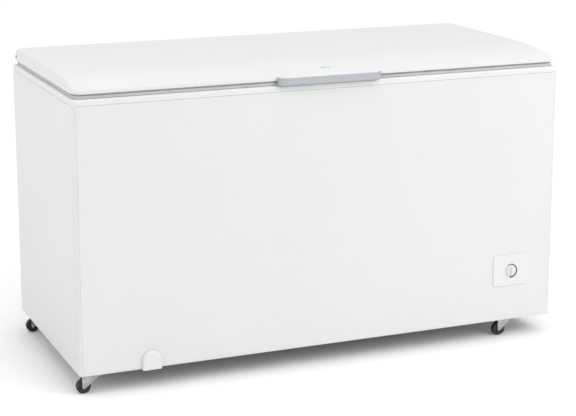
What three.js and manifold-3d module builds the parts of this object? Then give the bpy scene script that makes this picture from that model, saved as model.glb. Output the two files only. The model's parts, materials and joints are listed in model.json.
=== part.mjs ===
// Chest freezer on four swivel casters, with a sprung lid and a front thermostat dial.
// Millimetres. +Z is up, -Y is the front, X runs along the cabinet. The origin is on the floor,
// under the middle of the cabinet.

import * as THREE from "three";
import { mergeVertices } from "three/addons/utils/BufferGeometryUtils.js";
import Module from "manifold-3d";

const wasm = await Module();
wasm.setup();

// ---- driving dimensions -------------------------------------------------------------------

const cabinetWidth = 1604;
const cabinetDepth = 720;
const cabinetBase = 62; // height of the cabinet's underside, which the casters give
const rimHeight = 894; // top of the rim that the seal closes on
const wall = 62; // outer skin to inner face of the well
const sheet = 2;
const gap = 0.3; // clearance between pieces that touch
const cornerRadius = 8;
const cornerReturn = 9; // how far a side sheet wraps on to the front
const railHeight = 19;
const railBevel = 6;

const bayWidth = 310; // compressor bay, at the right end
const bayHeight = 290;
const bayWall = 50; // insulation between the bay and the well
const wellFloor = cabinetBase + 68;
const linerSheet = 1.5;
const wellCorner = 19;

const glandX = cabinetWidth / 2 - 80; // where the mains lead enters the bay
const glandZ = cabinetBase + 262;

const sealHeight = 15;
const lidInset = 2;
const lidRise = 50.5; // top of the lid above the rim
const lidEdge = 23; // top of the lid's upright front edge above the rim
const lidCorner = 35;
const lidPlug = 18; // how far the lid's inner tray hangs below the rim
const lidPlugGap = 12; // tray to well wall

const handleWidth = 344;
const handleReach = 20; // in front of the cabinet
const handleRise = 25.5;
const handleDrop = 2; // lower edge of the handle above the rim

const dialX = 651;
const dialZ = cabinetBase + 165;
const bezelWidth = 130;
const bezelHeight = 104;
const bezelProud = 3;
const knobRadius = 16;

const drainX = -579;
const drainY = -250;
const drainMouth = cabinetBase + 18; // height of the outlet behind the drain cover
const drainCoverWidth = 62;
const drainCoverHeight = 60;

const hingeX = [-677, 677];
const hingeAxis = { y: cabinetDepth / 2 + 12, z: rimHeight + 6 };
const pinRadius = 4;
const knuckleRadius = 8;

const wheelRadius = 22;
const wheelWidth = 18;
const casterTrail = 27; // kingpin to axle
const casters = {
  front_left: [-757, -326],
  front_right: [658, -322],
  rear_left: [-755, 300],
  rear_right: [658, 300],
};

const halfWidth = cabinetWidth / 2;
const halfDepth = cabinetDepth / 2;
const railBase = rimHeight - railHeight;
const wellX = halfWidth - wall;
const wellY = halfDepth - wall;
const bayX = halfWidth - bayWidth; // left end of the bay
const stepX = bayX - bayWall;
const stepZ = cabinetBase + bayHeight + bayWall;

// ---- materials ----------------------------------------------------------------------------

function finish(colour, roughness, metalness) {
  return new THREE.MeshStandardMaterial({ color: colour, roughness, metalness });
}

const whiteEnamel = finish(0xf2f3f3, 0.35, 0);
const whitePlastic = finish(0xf4f4f2, 0.4, 0);
const silverPaint = finish(0xb9bec3, 0.35, 0.6);
const greySeal = finish(0xb4b6b7, 0.7, 0);
const greyPlastic = finish(0x8d9092, 0.5, 0);
const stucco = finish(0xd9dcdd, 0.35, 0.7);
const insulation = finish(0xe3d8a6, 0.95, 0);
const zinc = finish(0xa9acae, 0.4, 0.9);
const blackRubber = finish(0x1b1b1c, 0.75, 0);
const blackPaint = finish(0x17181a, 0.45, 0.1);
const copper = finish(0xb87350, 0.35, 1);
const springSteel = finish(0x6d7074, 0.35, 1);

// ---- solids -------------------------------------------------------------------------------

// A closed geometry as a solid for joining and cutting, with its faces outwards.
function solid(geometry) {
  const bare = new THREE.BufferGeometry();
  bare.setAttribute("position", geometry.getAttribute("position"));
  bare.setIndex(geometry.index);
  const merged = mergeVertices(bare, 1e-3);
  const corners = merged.index.array;
  const kept = [];
  for (let i = 0; i < corners.length; i += 3) {
    const [a, b, c] = [corners[i], corners[i + 1], corners[i + 2]];
    if (a !== b && b !== c && c !== a) kept.push(a, b, c);
  }
  const make = (triangles) =>
    new wasm.Manifold(
      new wasm.Mesh({
        numProp: 3,
        vertProperties: new Float32Array(merged.attributes.position.array),
        triVerts: new Uint32Array(triangles),
      }),
    );
  const made = make(kept);
  return made.volume() < 0 ? make(kept.reverse()) : made;
}

function geometryOf(body) {
  const mesh = body.getMesh();
  const geometry = new THREE.BufferGeometry();
  geometry.setAttribute("position", new THREE.BufferAttribute(mesh.vertProperties, 3));
  geometry.setIndex(new THREE.BufferAttribute(mesh.triVerts, 1));
  geometry.computeVertexNormals();
  return geometry;
}

function joined(...bodies) {
  return bodies.reduce((sum, body) => sum.add(body));
}

function cut(body, ...tools) {
  return tools.reduce((rest, tool) => rest.subtract(tool), body);
}

// A box from its lowest to its highest corner.
function block([x0, y0, z0], [x1, y1, z1]) {
  const box = new THREE.BoxGeometry(x1 - x0, y1 - y0, z1 - z0);
  return solid(box.translate((x0 + x1) / 2, (y0 + y1) / 2, (z0 + z1) / 2));
}

function outline(points) {
  return new THREE.Shape(points.map(([u, v]) => new THREE.Vector2(u, v)));
}

function roundedRectangle(x0, y0, x1, y1, radius) {
  const shape = new THREE.Shape();
  shape.moveTo(x0 + radius, y0);
  shape.lineTo(x1 - radius, y0);
  shape.absarc(x1 - radius, y0 + radius, radius, -Math.PI / 2, 0);
  shape.lineTo(x1, y1 - radius);
  shape.absarc(x1 - radius, y1 - radius, radius, 0, Math.PI / 2);
  shape.lineTo(x0 + radius, y1);
  shape.absarc(x0 + radius, y1 - radius, radius, Math.PI / 2, Math.PI);
  shape.lineTo(x0, y0 + radius);
  shape.absarc(x0 + radius, y0 + radius, radius, Math.PI, Math.PI * 1.5);
  return shape;
}

function extruded(shape, depth, curveSegments) {
  return new THREE.ExtrudeGeometry(shape, { depth, bevelEnabled: false, curveSegments });
}

// A plan outline (x, y) raised from z0 to z1.
function raised(shape, z0, z1, curveSegments = 4) {
  return solid(extruded(shape, z1 - z0, curveSegments).translate(0, 0, z0));
}

// An end profile (y, z) run from x0 to x1.
function alongX(shape, x0, x1, curveSegments = 4) {
  const turn = new THREE.Matrix4().makeBasis(
    new THREE.Vector3(0, 1, 0),
    new THREE.Vector3(0, 0, 1),
    new THREE.Vector3(1, 0, 0),
  );
  return solid(extruded(shape, x1 - x0, curveSegments).applyMatrix4(turn).translate(x0, 0, 0));
}

// A front profile (x, z) run from y0 to y1.
function alongY(shape, y0, y1, curveSegments = 4) {
  return solid(extruded(shape, y1 - y0, curveSegments).rotateX(Math.PI / 2).translate(0, y1, 0));
}

// A profile of (radius, height) spun about the axis named.
function turned(profile, sides, axis = "z") {
  const points = profile.map(([radius, height]) => new THREE.Vector2(radius, height));
  const geometry = new THREE.LatheGeometry(points, sides);
  if (axis === "z") geometry.rotateX(Math.PI / 2);
  if (axis === "x") geometry.rotateZ(-Math.PI / 2);
  return geometry;
}

function rod(radius, length, sides, axis) {
  return turned([[0, 0], [radius, 0], [radius, length], [0, length]], sides, axis);
}

// A line through given points, with one section of a pipe at each of them.
class Route extends THREE.Curve {
  constructor(points) {
    super();
    this.points = points;
  }

  getPoint(t) {
    const last = this.points.length - 1;
    const start = Math.min(Math.floor(t * last + 1e-6), last - 1);
    return this.points[start].clone().lerp(this.points[start + 1], t * last - start);
  }

  getPointAt(u) {
    return this.getPoint(u);
  }

  getTangentAt(u) {
    const last = this.points.length - 1;
    const knot = Math.round(u * last);
    const sum = new THREE.Vector3();
    for (const start of [knot - 1, knot]) {
      if (start < 0 || start >= last) continue;
      sum.add(this.points[start + 1].clone().sub(this.points[start]).normalize());
    }
    return sum.normalize();
  }
}

// Rounds every inner corner of a line of (x, y, z) places.
function bent(places, radius, steps = 2) {
  const points = places.map((place) => new THREE.Vector3(...place));
  const line = [points[0]];
  for (let i = 1; i < points.length - 1; i += 1) {
    const towards = (other) => other.clone().sub(points[i]).setLength(radius).add(points[i]);
    const corner = new THREE.QuadraticBezierCurve3(
      towards(points[i - 1]),
      points[i],
      towards(points[i + 1]),
    );
    line.push(...corner.getPoints(steps));
  }
  line.push(points.at(-1));
  return line;
}

function pipe(line, radius, sides = 6, bore = 0) {
  const section = new THREE.Shape();
  section.absarc(0, 0, radius, 0, Math.PI * 2);
  if (bore) section.holes.push(new THREE.Path().absarc(0, 0, bore, 0, Math.PI * 2, true));
  const route = new Route(line);
  return solid(
    new THREE.ExtrudeGeometry(section, {
      extrudePath: route,
      steps: line.length - 1,
      bevelEnabled: false,
      curveSegments: sides / 2,
    }),
  );
}

const freezer = new THREE.Group();

function add(name, shape, material, place = [0, 0, 0], parent = freezer) {
  const body = shape.isBufferGeometry ? solid(shape) : shape;
  const mesh = new THREE.Mesh(geometryOf(body), material);
  mesh.name = name;
  mesh.position.set(...place);
  parent.add(mesh);
}

// ---- outer cabinet ------------------------------------------------------------------------

// A side sheet, folded round the front corner and ending in a short return on the front.
function sideSheet(side) {
  const x = (inset) => side * (halfWidth - inset);
  const y = (inset) => -halfDepth + inset;
  const centre = [x(cornerRadius), y(cornerRadius)];
  const arc = (radius, from, to) =>
    new THREE.Path()
      .absarc(0, 0, radius, from, to)
      .getPoints(4)
      .map((p) => [centre[0] + side * p.x, centre[1] + p.y]);
  const section = outline([
    [x(cornerReturn), y(0)],
    ...arc(cornerRadius, -Math.PI / 2, 0),
    [x(0), halfDepth],
    [x(sheet), halfDepth],
    ...arc(cornerRadius - sheet, -Math.PI / 2, 0).reverse(),
    [x(cornerReturn), y(sheet)],
  ]);
  return raised(section, cabinetBase, railBase - gap);
}

function addOuterCabinet() {
  const frontX = halfWidth - cornerReturn - gap;
  const innerX = halfWidth - sheet - gap;
  const innerY = halfDepth - sheet - gap;
  const top = railBase - gap;
  const shaftHole = rod(6, 4 * sheet, 12, "y").translate(dialX, -halfDepth - sheet, dialZ);
  const drainHole = rod(10, 4 * sheet, 12, "y");
  drainHole.translate(drainX, -halfDepth - sheet, drainMouth);
  add(
    "front_panel",
    cut(
      block([-frontX, -halfDepth, cabinetBase], [frontX, -halfDepth + sheet, top]),
      solid(shaftHole),
      solid(drainHole),
    ),
    whiteEnamel,
  );
  add("left_side_panel", sideSheet(-1), whiteEnamel);
  add("right_side_panel", sideSheet(1), whiteEnamel);

  const bayOpening = block(
    [halfWidth - 285, halfDepth - 2 * sheet, cabinetBase + 40],
    [halfWidth - 55, halfDepth + sheet, cabinetBase + 220],
  );
  const glandHole = rod(7, 4 * sheet, 12, "y");
  glandHole.translate(glandX, halfDepth - 2 * sheet, glandZ);
  add(
    "rear_panel",
    cut(
      block([-innerX, halfDepth - sheet, cabinetBase], [innerX, halfDepth, top]),
      bayOpening,
      solid(glandHole),
    ),
    whiteEnamel,
  );
  const trayThick = 3;
  const upstand = 18; // the tray's left edge turns up
  const floor = (thick) =>
    raised(
      roundedRectangle(-innerX, -innerY, innerX, innerY, cornerRadius - sheet - gap),
      cabinetBase,
      cabinetBase + thick,
    );
  const upTo = (x) => block([-halfWidth, -halfDepth, 0], [x, halfDepth, rimHeight]);
  add("base_panel", floor(sheet).intersect(upTo(bayX - gap)), zinc);
  add(
    "compressor_tray",
    joined(
      cut(floor(trayThick), upTo(bayX)),
      block([bayX, -innerY, cabinetBase + 1], [bayX + trayThick, innerY, cabinetBase + upstand]),
    ),
    zinc,
  );
}

// The moulded rim: four mitred rails that cap the insulation and carry the seal's landing face.
function addRimRails() {
  const bevelled = new THREE.ExtrudeGeometry(
    roundedRectangle(-halfWidth, -halfDepth, halfWidth, halfDepth, cornerRadius),
    {
      depth: 2 * railHeight,
      bevelThickness: railBevel,
      bevelSize: railBevel,
      bevelOffset: -railBevel,
      bevelSegments: 2,
      curveSegments: 4,
    },
  ).translate(0, 0, rimHeight - 2 * railHeight - railBevel);
  const below = block(
    [-halfWidth - 1, -halfDepth - 1, rimHeight - 4 * railHeight],
    [halfWidth + 1, halfDepth + 1, railBase],
  );
  const mouth = block([-wellX, -wellY, railBase - 1], [wellX, wellY, rimHeight + 1]);
  const ring = cut(solid(bevelled), below, mouth);
  const over = 20;
  const past = wall + over; // the mitre wedges reach past both edges of the rails
  const ends = (side) => [
    [side * (halfWidth + over), -halfDepth - over + gap],
    [side * (halfWidth - past), -halfDepth + past + gap],
    [side * (halfWidth - past), halfDepth - past - gap],
    [side * (halfWidth + over), halfDepth + over - gap],
  ];
  const faces = (side) => [
    [-halfWidth - over + gap, side * (halfDepth + over)],
    [-halfWidth + past + gap, side * (halfDepth - past)],
    [halfWidth - past - gap, side * (halfDepth - past)],
    [halfWidth + over - gap, side * (halfDepth + over)],
  ];
  const wedges = {
    rim_rail_front: faces(-1),
    rim_rail_rear: faces(1),
    rim_rail_left: ends(-1),
    rim_rail_right: ends(1),
  };
  for (const [name, wedge] of Object.entries(wedges)) {
    const slice = raised(outline(wedge), railBase - 1, rimHeight + 1);
    add(name, ring.intersect(slice), whitePlastic);
  }
}

// ---- well, insulation and buried pipes ------------------------------------------------------

// Front profile of the well, stepped over the compressor bay, pushed out by a margin.
function wellProfile(margin, top) {
  return outline([
    [-wellX - margin, top],
    [-wellX - margin, wellFloor - margin],
    [stepX + margin, wellFloor - margin],
    [stepX + margin, stepZ - margin],
    [wellX + margin, stepZ - margin],
    [wellX + margin, top],
  ]);
}

// The well's outer form at a margin, with its four upright corners rounded.
function wellForm(margin, top) {
  const [x, y] = [wellX + margin, wellY + margin];
  const plan = roundedRectangle(-x, -y, x, y, wellCorner + margin);
  return alongY(wellProfile(margin, top), -y, y).intersect(raised(plan, 0, top + 1, 5));
}

function wellLiner() {
  const top = railBase - gap;
  const outer = wellForm(linerSheet, top);
  const inner = wellForm(0, top + 1);
  const outlet = rod(11, 4 * linerSheet, 12, "z");
  outlet.translate(drainX, drainY, wellFloor - 2 * linerSheet);
  return cut(outer, inner, solid(outlet));
}

// Rectangular loops that climb round the cabinet, inset from its outer faces.
function loops(inset, startZ, pitch, turns) {
  const x = halfWidth - inset;
  const y = halfDepth - inset;
  const corners = [
    [x, y],
    [-x, y],
    [-x, -y],
    [x, -y],
  ];
  const places = [];
  for (let i = 0; i < turns * 4; i += 1) {
    places.push([...corners[i % 4], startZ + (pitch * (i + 0.5)) / 4]);
  }
  return places;
}

const compressorPlace = [halfWidth - 165, 60, cabinetBase + 3 + gap];
const suctionZ = compressorPlace[2] + 118;
const dischargeZ = compressorPlace[2] + 62;

function evaporatorLine() {
  const inset = wall - linerSheet - 4;
  const startZ = stepZ + 60;
  const x = halfWidth - inset;
  return bent(
    [
      [compressorPlace[0] + 76, compressorPlace[1], suctionZ],
      [x, compressorPlace[1], suctionZ],
      [x, compressorPlace[1], startZ],
      ...loops(inset, startZ, 110, 3),
      [x, 0, startZ + 3 * 110],
    ],
    20,
  );
}

function condenserLine(drierX, drierY) {
  const inset = sheet + gap + 2.7;
  const startZ = stepZ - 20;
  const pitch = 130;
  const endZ = startZ + 3 * pitch;
  const x = halfWidth - inset;
  return bent(
    [
      [compressorPlace[0], compressorPlace[1] - 76, dischargeZ],
      [compressorPlace[0], compressorPlace[1] - 130, dischargeZ],
      [x, compressorPlace[1] - 130, dischargeZ],
      [x, compressorPlace[1] - 130, startZ],
      ...loops(inset, startZ, pitch, 3),
      [x, drierY - 60, endZ],
      [drierX, drierY, endZ],
      [drierX, drierY, drierTop + gap],
    ],
    12,
  );
}

const drierTop = cabinetBase + 205;
const drierLength = 84;

function drainLine(frontY) {
  return bent(
    [
      [drainX, drainY, wellFloor - linerSheet - gap],
      [drainX, drainY, drainMouth],
      [drainX, frontY, drainMouth],
    ],
    22,
    4,
  );
}

function addWell() {
  const drierX = halfWidth - 16;
  const drierY = -170;
  const evaporator = evaporatorLine();
  const condenser = condenserLine(drierX, drierY);
  add("evaporator_pipe", pipe(evaporator, 3.5), copper);
  add("condenser_pipe", pipe(condenser, 2.4), copper);
  add("drain_pipe", pipe(drainLine(-halfDepth - 2), 9, 10, 6.5), whitePlastic);
  const drierProfile = [
    [0, 0],
    [2.5, 0],
    [8, 12],
    [8, drierLength - 12],
    [2.5, drierLength],
    [0, drierLength],
  ];
  add("filter_drier", turned(drierProfile, 12), copper, [drierX, drierY, drierTop - drierLength]);

  const channels = [
    pipe(evaporator, 5.6, 4),
    pipe(condenser, 4, 4),
    pipe(drainLine(-halfDepth - 2), 14, 4),
  ];
  const skin = sheet + gap;
  const back = wall - linerSheet - gap; // where the insulation meets the well's sheet
  const top = railBase - gap;
  const base = cabinetBase + skin;
  const bay = block(
    [bayX - gap, -halfDepth, 0],
    [halfWidth, halfDepth, cabinetBase + bayHeight],
  );
  const faceX = halfWidth - back - gap;
  const slabs = {
    insulation_front: block([-faceX, -halfDepth + skin, base], [faceX, -halfDepth + back, top]),
    insulation_rear: block([-faceX, halfDepth - back, base], [faceX, halfDepth - skin, top]),
    insulation_left: block(
      [-halfWidth + skin, -halfDepth + cornerRadius, base],
      [-halfWidth + back, halfDepth - skin, top],
    ),
    insulation_right: block(
      [halfWidth - back, -halfDepth + cornerRadius, base],
      [halfWidth - skin, halfDepth - skin, top],
    ),
    insulation_floor: cut(
      block([-faceX, -halfDepth + back + gap, base], [faceX, halfDepth - back - gap, stepZ + 1]),
      alongY(wellProfile(linerSheet + gap, top), -halfDepth, halfDepth),
    ),
  };
  for (const [name, slab] of Object.entries(slabs)) {
    add(name, cut(slab, bay, ...channels), insulation);
  }
  add("well_liner", wellLiner(), stucco);
}

// ---- compressor bay -------------------------------------------------------------------------

function compressor() {
  const shell = turned(
    [
      [0, 14],
      [52, 16],
      [70, 30],
      [72, 78],
      [74, 80],
      [74, 88],
      [72, 90],
      [70, 130],
      [56, 158],
      [30, 172],
      [0, 176],
    ],
    20,
  );
  const foot = raised(roundedRectangle(-95, -50, 95, 50, 14), 0, 5, 2);
  const pedestal = rod(50, 20, 16).translate(0, 0, 2);
  const stubs = [
    rod(4.5, 12, 8, "x").translate(64, 0, suctionZ - compressorPlace[2]),
    rod(4.5, 12, 8, "y").translate(0, -75.5, dischargeZ - compressorPlace[2]),
  ];
  const relay = block([-104, -26, 50], [-66, 26, 112]);
  return joined(solid(shell), foot, solid(pedestal), relay, ...stubs.map(solid));
}

// The louvred cover over the bay's opening in the rear panel.
function rearGrille() {
  const [x0, x1] = [halfWidth - 305, halfWidth - 35];
  const [z0, z1] = [cabinetBase + 18, cabinetBase + 242];
  const slotRows = 9;
  const slotHeight = 9;
  const slotLength = 105;
  const plate = block([x0, halfDepth + gap, z0], [x1, halfDepth + 3, z1]);
  const slots = [];
  for (let row = 0; row < slotRows; row += 1) {
    const z = z0 + 30 + row * ((z1 - z0 - 60 - slotHeight) / (slotRows - 1));
    for (const side of [-1, 1]) {
      const x = (x0 + x1) / 2 + side * (slotLength / 2 + 5);
      slots.push(
        block(
          [x - slotLength / 2, halfDepth - 1, z],
          [x + slotLength / 2, halfDepth + 5, z + slotHeight],
        ),
      );
    }
  }
  return cut(plate, ...slots);
}

function addBay() {
  add("compressor", compressor(), blackPaint, compressorPlace);
  add("rear_grille", rearGrille(), greyPlastic);
  const gland = [
    [3.5, -4],
    [6.5, -4],
    [6.5, gap],
    [11, gap],
    [11, 4],
    [6, 12],
    [3.5, 12],
    [3.5, -4],
  ];
  add(
    "cord_gland",
    turned(gland, 16, "y"),
    blackRubber,
    [glandX, halfDepth, glandZ],
  );
  const cap = [
    [0, gap],
    [14, gap],
    [14, 1.2],
    [11, 3],
    [6, 4],
    [0, 4],
  ];
  add(
    "side_vent_cap",
    turned(cap, 20, "x"),
    greyPlastic,
    [halfWidth, -halfDepth + 24, cabinetBase + 285],
  );
}

// ---- thermostat and dial ----------------------------------------------------------------------

function addThermostat() {
  const front = -halfDepth;
  const left = dialX - bezelWidth / 2;
  const bottom = dialZ - 48;
  const plate = alongY(
    roundedRectangle(left, bottom, left + bezelWidth, bottom + bezelHeight, 9),
    front - bezelProud,
    front - gap,
  );
  const dish = rod(24, 2, 32, "y").translate(dialX, front - bezelProud - 0.8, dialZ);
  const hole = rod(4.5, 20, 12, "y").translate(dialX, front - 10, dialZ);
  add("control_bezel", cut(plate, solid(dish), solid(hole)), whitePlastic);

  const case_ = block([-24, sheet + gap, -20], [24, 40, 20]);
  const socket = rod(3.6, 20, 12, "y").translate(0, 0, 0);
  add("thermostat", cut(case_, solid(socket)), greyPlastic, [dialX, front, dialZ]);
  add("dial_shaft", rod(3.2, 22, 12, "y").translate(0, -6, 0), zinc, [dialX, front, dialZ]);

  const knobBack = -bezelProud + 1.2 - gap;
  const knobFront = -15;
  const skirt = turned(
    [
      [0, knobBack],
      [knobRadius, knobBack],
      [knobRadius, -5],
      [knobRadius - 1.5, -7],
      [0, -7],
    ],
    28,
    "y",
  );
  const grip = alongY(
    roundedRectangle(-4.5, -knobRadius + 1.5, 4.5, knobRadius - 1.5, 4),
    knobFront,
    -6.5,
  );
  const bore = rod(3.5, 10, 12, "y").translate(0, -6.3, 0);
  add(
    "dial_knob",
    cut(joined(solid(skirt), grip), solid(bore)),
    whitePlastic,
    [dialX, front, dialZ],
  );
}

// ---- drain ------------------------------------------------------------------------------------

function addDrain() {
  const half = drainCoverWidth / 2;
  const foot = cabinetBase - 3;
  const spring = foot + drainCoverHeight - 26; // where the arch starts
  const shape = new THREE.Shape();
  shape.moveTo(drainX - half, foot);
  shape.lineTo(drainX + half, foot);
  shape.lineTo(drainX + half, spring);
  shape.absellipse(drainX, spring, half, 26, 0, Math.PI);
  const cover = alongY(shape, -halfDepth - 11, -halfDepth - gap, 12);
  const inside = block(
    [drainX - half + 3, -halfDepth - 8.5, foot - 1],
    [drainX + half - 3, -halfDepth, spring - 2],
  );
  add("drain_cover", cut(cover, inside), whitePlastic);
  const plug = [
    [0, -7],
    [5.5, -7],
    [6.2, -0.5],
    [6.2, gap],
    [14, gap],
    [14, 3],
    [4, 4],
    [4, 12],
    [7, 14],
    [7, 17],
    [0, 17],
  ];
  add("drain_plug", turned(plug, 16), greyPlastic, [drainX, drainY, wellFloor]);
}

// ---- lid --------------------------------------------------------------------------------------

// The lid's filled outer form, shrunk by an inset: a long front slope, a flat top and soft ends.
function lidForm(inset) {
  const front = -halfDepth + lidInset + inset;
  const rear = halfDepth - lidInset - inset;
  const end = halfWidth - lidInset - inset;
  const bottom = rimHeight + sealHeight;
  const top = rimHeight + lidRise - inset;
  const edge = rimHeight + lidEdge - inset / 2;
  const side = new THREE.Shape();
  side.moveTo(front, bottom);
  side.lineTo(front, edge);
  side.quadraticCurveTo(front, edge + 2.5, front + 5, edge + 3.5);
  side.quadraticCurveTo(front + 95, top - 4.5, front + 230, top);
  side.lineTo(rear - 12, top);
  side.quadraticCurveTo(rear, top, rear, top - 12);
  side.lineTo(rear, bottom);
  const ends = new THREE.Shape();
  ends.moveTo(-end, bottom);
  ends.lineTo(end, bottom);
  ends.lineTo(end, top - 15);
  ends.quadraticCurveTo(end, top + 1, end - 16, top + 1);
  ends.lineTo(-end + 16, top + 1);
  ends.quadraticCurveTo(-end, top + 1, -end, top - 15);
  const plan = roundedRectangle(-end, front, end, rear, lidCorner - inset);
  return alongX(side, -end, end, 6)
    .intersect(alongY(ends, front, rear, 3))
    .intersect(raised(plan, bottom - 1, top + 2, 3));
}

function lidTray() {
  const plateX = halfWidth - lidInset - sheet - gap;
  const plateY = halfDepth - lidInset - sheet - gap;
  const bottom = rimHeight + sealHeight;
  const plate = roundedRectangle(-plateX, -plateY, plateX, plateY, lidCorner - sheet - gap);
  const plugX = wellX - lidPlugGap;
  const plugY = wellY - lidPlugGap;
  const pan = block([-plugX, -plugY, rimHeight - lidPlug], [plugX, plugY, bottom + 1]);
  const hollow = block(
    [-plugX + sheet, -plugY + sheet, rimHeight - lidPlug + sheet],
    [plugX - sheet, plugY - sheet, bottom + 10],
  );
  return cut(joined(raised(plate, bottom, bottom + linerSheet, 3), pan), hollow);
}

function lidInsulation() {
  const floor = rimHeight + sealHeight + linerSheet + gap;
  const plugX = wellX - lidPlugGap - sheet - gap;
  const plugY = wellY - lidPlugGap - sheet - gap;
  const below = block([-halfWidth, -halfDepth, 0], [halfWidth, halfDepth, floor]);
  const fill = block(
    [-plugX, -plugY, rimHeight - lidPlug + sheet + gap],
    [plugX, plugY, floor + 1],
  );
  return joined(cut(lidForm(sheet + gap), below), fill);
}

function lidSeal() {
  const x = halfWidth - 9;
  const y = halfDepth - 9;
  const width = 20;
  const ring = (inset, z0, z1) => {
    const outer = roundedRectangle(-x + inset, -y + inset, x - inset, y - inset, 22 - inset);
    const hole = roundedRectangle(
      -x + width - inset,
      -y + width - inset,
      x - width + inset,
      y - width + inset,
      8,
    );
    outer.holes.push(hole);
    return raised(outer, rimHeight + z0, rimHeight + z1, 2);
  };
  return joined(ring(0, gap, sealHeight - 5), ring(3, sealHeight - 6, sealHeight - gap));
}

// Plan of the handle: square at the back, round at the two front corners.
function handlePlan(margin, back) {
  const half = handleWidth / 2 - margin;
  const front = -halfDepth - handleReach + margin;
  const radius = 27 - margin;
  const shape = new THREE.Shape();
  shape.moveTo(half, back);
  shape.lineTo(-half, back);
  shape.lineTo(-half, front + radius);
  shape.absarc(-half + radius, front + radius, radius, Math.PI, Math.PI * 1.5);
  shape.lineTo(half - radius, front);
  shape.absarc(half - radius, front + radius, radius, -Math.PI / 2, 0);
  return shape;
}

const trimThickness = 2.5;

function lidHandle() {
  const front = -halfDepth - handleReach;
  const low = rimHeight + handleDrop;
  const high = rimHeight + handleRise;
  const profile = new THREE.Shape();
  profile.moveTo(front, low);
  profile.lineTo(front, high);
  profile.quadraticCurveTo(front + 30, high + 4.5, front + 84, high + 8);
  profile.lineTo(front + 84, low);
  const outer = alongX(profile, -halfWidth, halfWidth, 6).intersect(
    raised(handlePlan(trimThickness + gap, -halfDepth + 90), low - 1, high + 30, 6),
  );
  const pocket = raised(handlePlan(trimThickness + 4, -halfDepth + 40), low - 5, high - 5, 6);
  const lid = lidForm(0).translate([0, -gap, gap]);
  const under = block([-halfWidth, -halfDepth + 1, 0], [halfWidth, halfDepth, low + 15]);
  return cut(outer, pocket, lid, under);
}

function handleTrim() {
  const low = rimHeight + handleDrop;
  const high = rimHeight + handleRise - 1;
  const back = -halfDepth + 40;
  const outer = raised(handlePlan(0, back), low, high, 6);
  const inner = raised(handlePlan(trimThickness, back + 5), low - 1, high + 1, 6);
  const lidFront = -halfDepth + lidInset - 1;
  const behind = block([-halfWidth, lidFront, low - 1], [halfWidth, halfDepth, high + 1]);
  return cut(outer, inner, behind);
}

function addLid() {
  add("lid_skin", cut(lidForm(0), lidForm(sheet).translate([0, 0, -0.01]), lidMouth()), whiteEnamel);
  add("lid_tray", lidTray(), whitePlastic);
  add("lid_insulation", lidInsulation(), insulation);
  add("lid_seal", lidSeal(), greySeal);
  add("lid_handle", lidHandle(), whitePlastic);
  add("handle_trim", handleTrim(), silverPaint);
}

// Opens the underside of the lid's skin.
function lidMouth() {
  const end = halfWidth - lidInset - sheet;
  const side = halfDepth - lidInset - sheet;
  const bottom = rimHeight + sealHeight;
  const plan = roundedRectangle(-end, -side, end, side, lidCorner - sheet);
  return raised(plan, bottom - 1, bottom + 0.5, 3);
}

// ---- hinges -----------------------------------------------------------------------------------

const hingeHalf = 23;
const earWidth = 7;

function ear(x0, x1) {
  const { y, z } = hingeAxis;
  const shape = new THREE.Shape();
  shape.moveTo(halfDepth + gap, z - 50);
  shape.lineTo(y + knuckleRadius, z - 10);
  shape.lineTo(y + knuckleRadius, z);
  shape.absarc(y, z, knuckleRadius, 0, Math.PI);
  shape.lineTo(y - knuckleRadius, z - 10);
  shape.lineTo(halfDepth + gap, z - 12);
  return alongX(shape, x0, x1, 8);
}

function hingeBase(x) {
  const { y, z } = hingeAxis;
  const plate = block(
    [x - hingeHalf, halfDepth + gap, z - 100],
    [x + hingeHalf, halfDepth + 3, z - 22],
  );
  const bore = rod(pinRadius + 0.1, 80, 16, "x").translate(x - 40, y, z);
  return cut(
    joined(
      plate,
      ear(x - hingeHalf, x - hingeHalf + earWidth),
      ear(x + hingeHalf - earWidth, x + hingeHalf),
    ),
    solid(bore),
  );
}

function hingeArm(x) {
  const { y, z } = hingeAxis;
  const half = hingeHalf - earWidth - gap;
  const rear = halfDepth - lidInset;
  const leaf = new THREE.Shape();
  leaf.moveTo(rear + gap, rimHeight + lidRise - 14);
  leaf.lineTo(rear + gap, z + 11);
  leaf.lineTo(y - knuckleRadius + 1, z);
  leaf.lineTo(y, z);
  leaf.lineTo(y + 2, z + knuckleRadius - 1);
  leaf.lineTo(rear + gap + 3, z + 14);
  leaf.lineTo(rear + gap + 3, rimHeight + lidRise - 14);
  const knuckle = rod(knuckleRadius, half + 2, 16, "x").translate(x - half, y, z);
  const bore = rod(pinRadius + 0.1, 80, 16, "x").translate(x - 40, y, z);
  const springRoom = rod(knuckleRadius + 1, half + 10, 16, "x").translate(x + 2, y, z);
  const plate = alongX(leaf, x - half, x + half, 4);
  return cut(joined(cut(plate, solid(springRoom)), solid(knuckle)), solid(bore));
}

function addHinges() {
  const { y, z } = hingeAxis;
  const half = hingeHalf - earWidth - gap;
  hingeX.forEach((x, i) => {
    const name = i === 0 ? "left" : "right";
    add(`hinge_base_${name}`, hingeBase(x), zinc);
    add(`hinge_arm_${name}`, hingeArm(x), zinc);
    const pin = [
      [0, -26.5],
      [6, -26.5],
      [6, -23.3],
      [pinRadius, -23.3],
      [pinRadius, 23.3],
      [6, 23.3],
      [6, 26.5],
      [0, 26.5],
    ];
    add(`hinge_pin_${name}`, turned(pin, 16, "x"), zinc, [x, y, z]);
    const coil = [
      [pinRadius + 0.4, 2 + gap],
      [knuckleRadius - 0.5, 2 + gap],
      [knuckleRadius - 0.5, half],
      [pinRadius + 0.4, half],
      [pinRadius + 0.4, 2 + gap],
    ];
    add(`hinge_spring_${name}`, turned(coil, 12, "x"), springSteel, [x, y, z]);
  });
}

// ---- casters ----------------------------------------------------------------------------------

const casterTop = cabinetBase - gap;

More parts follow.
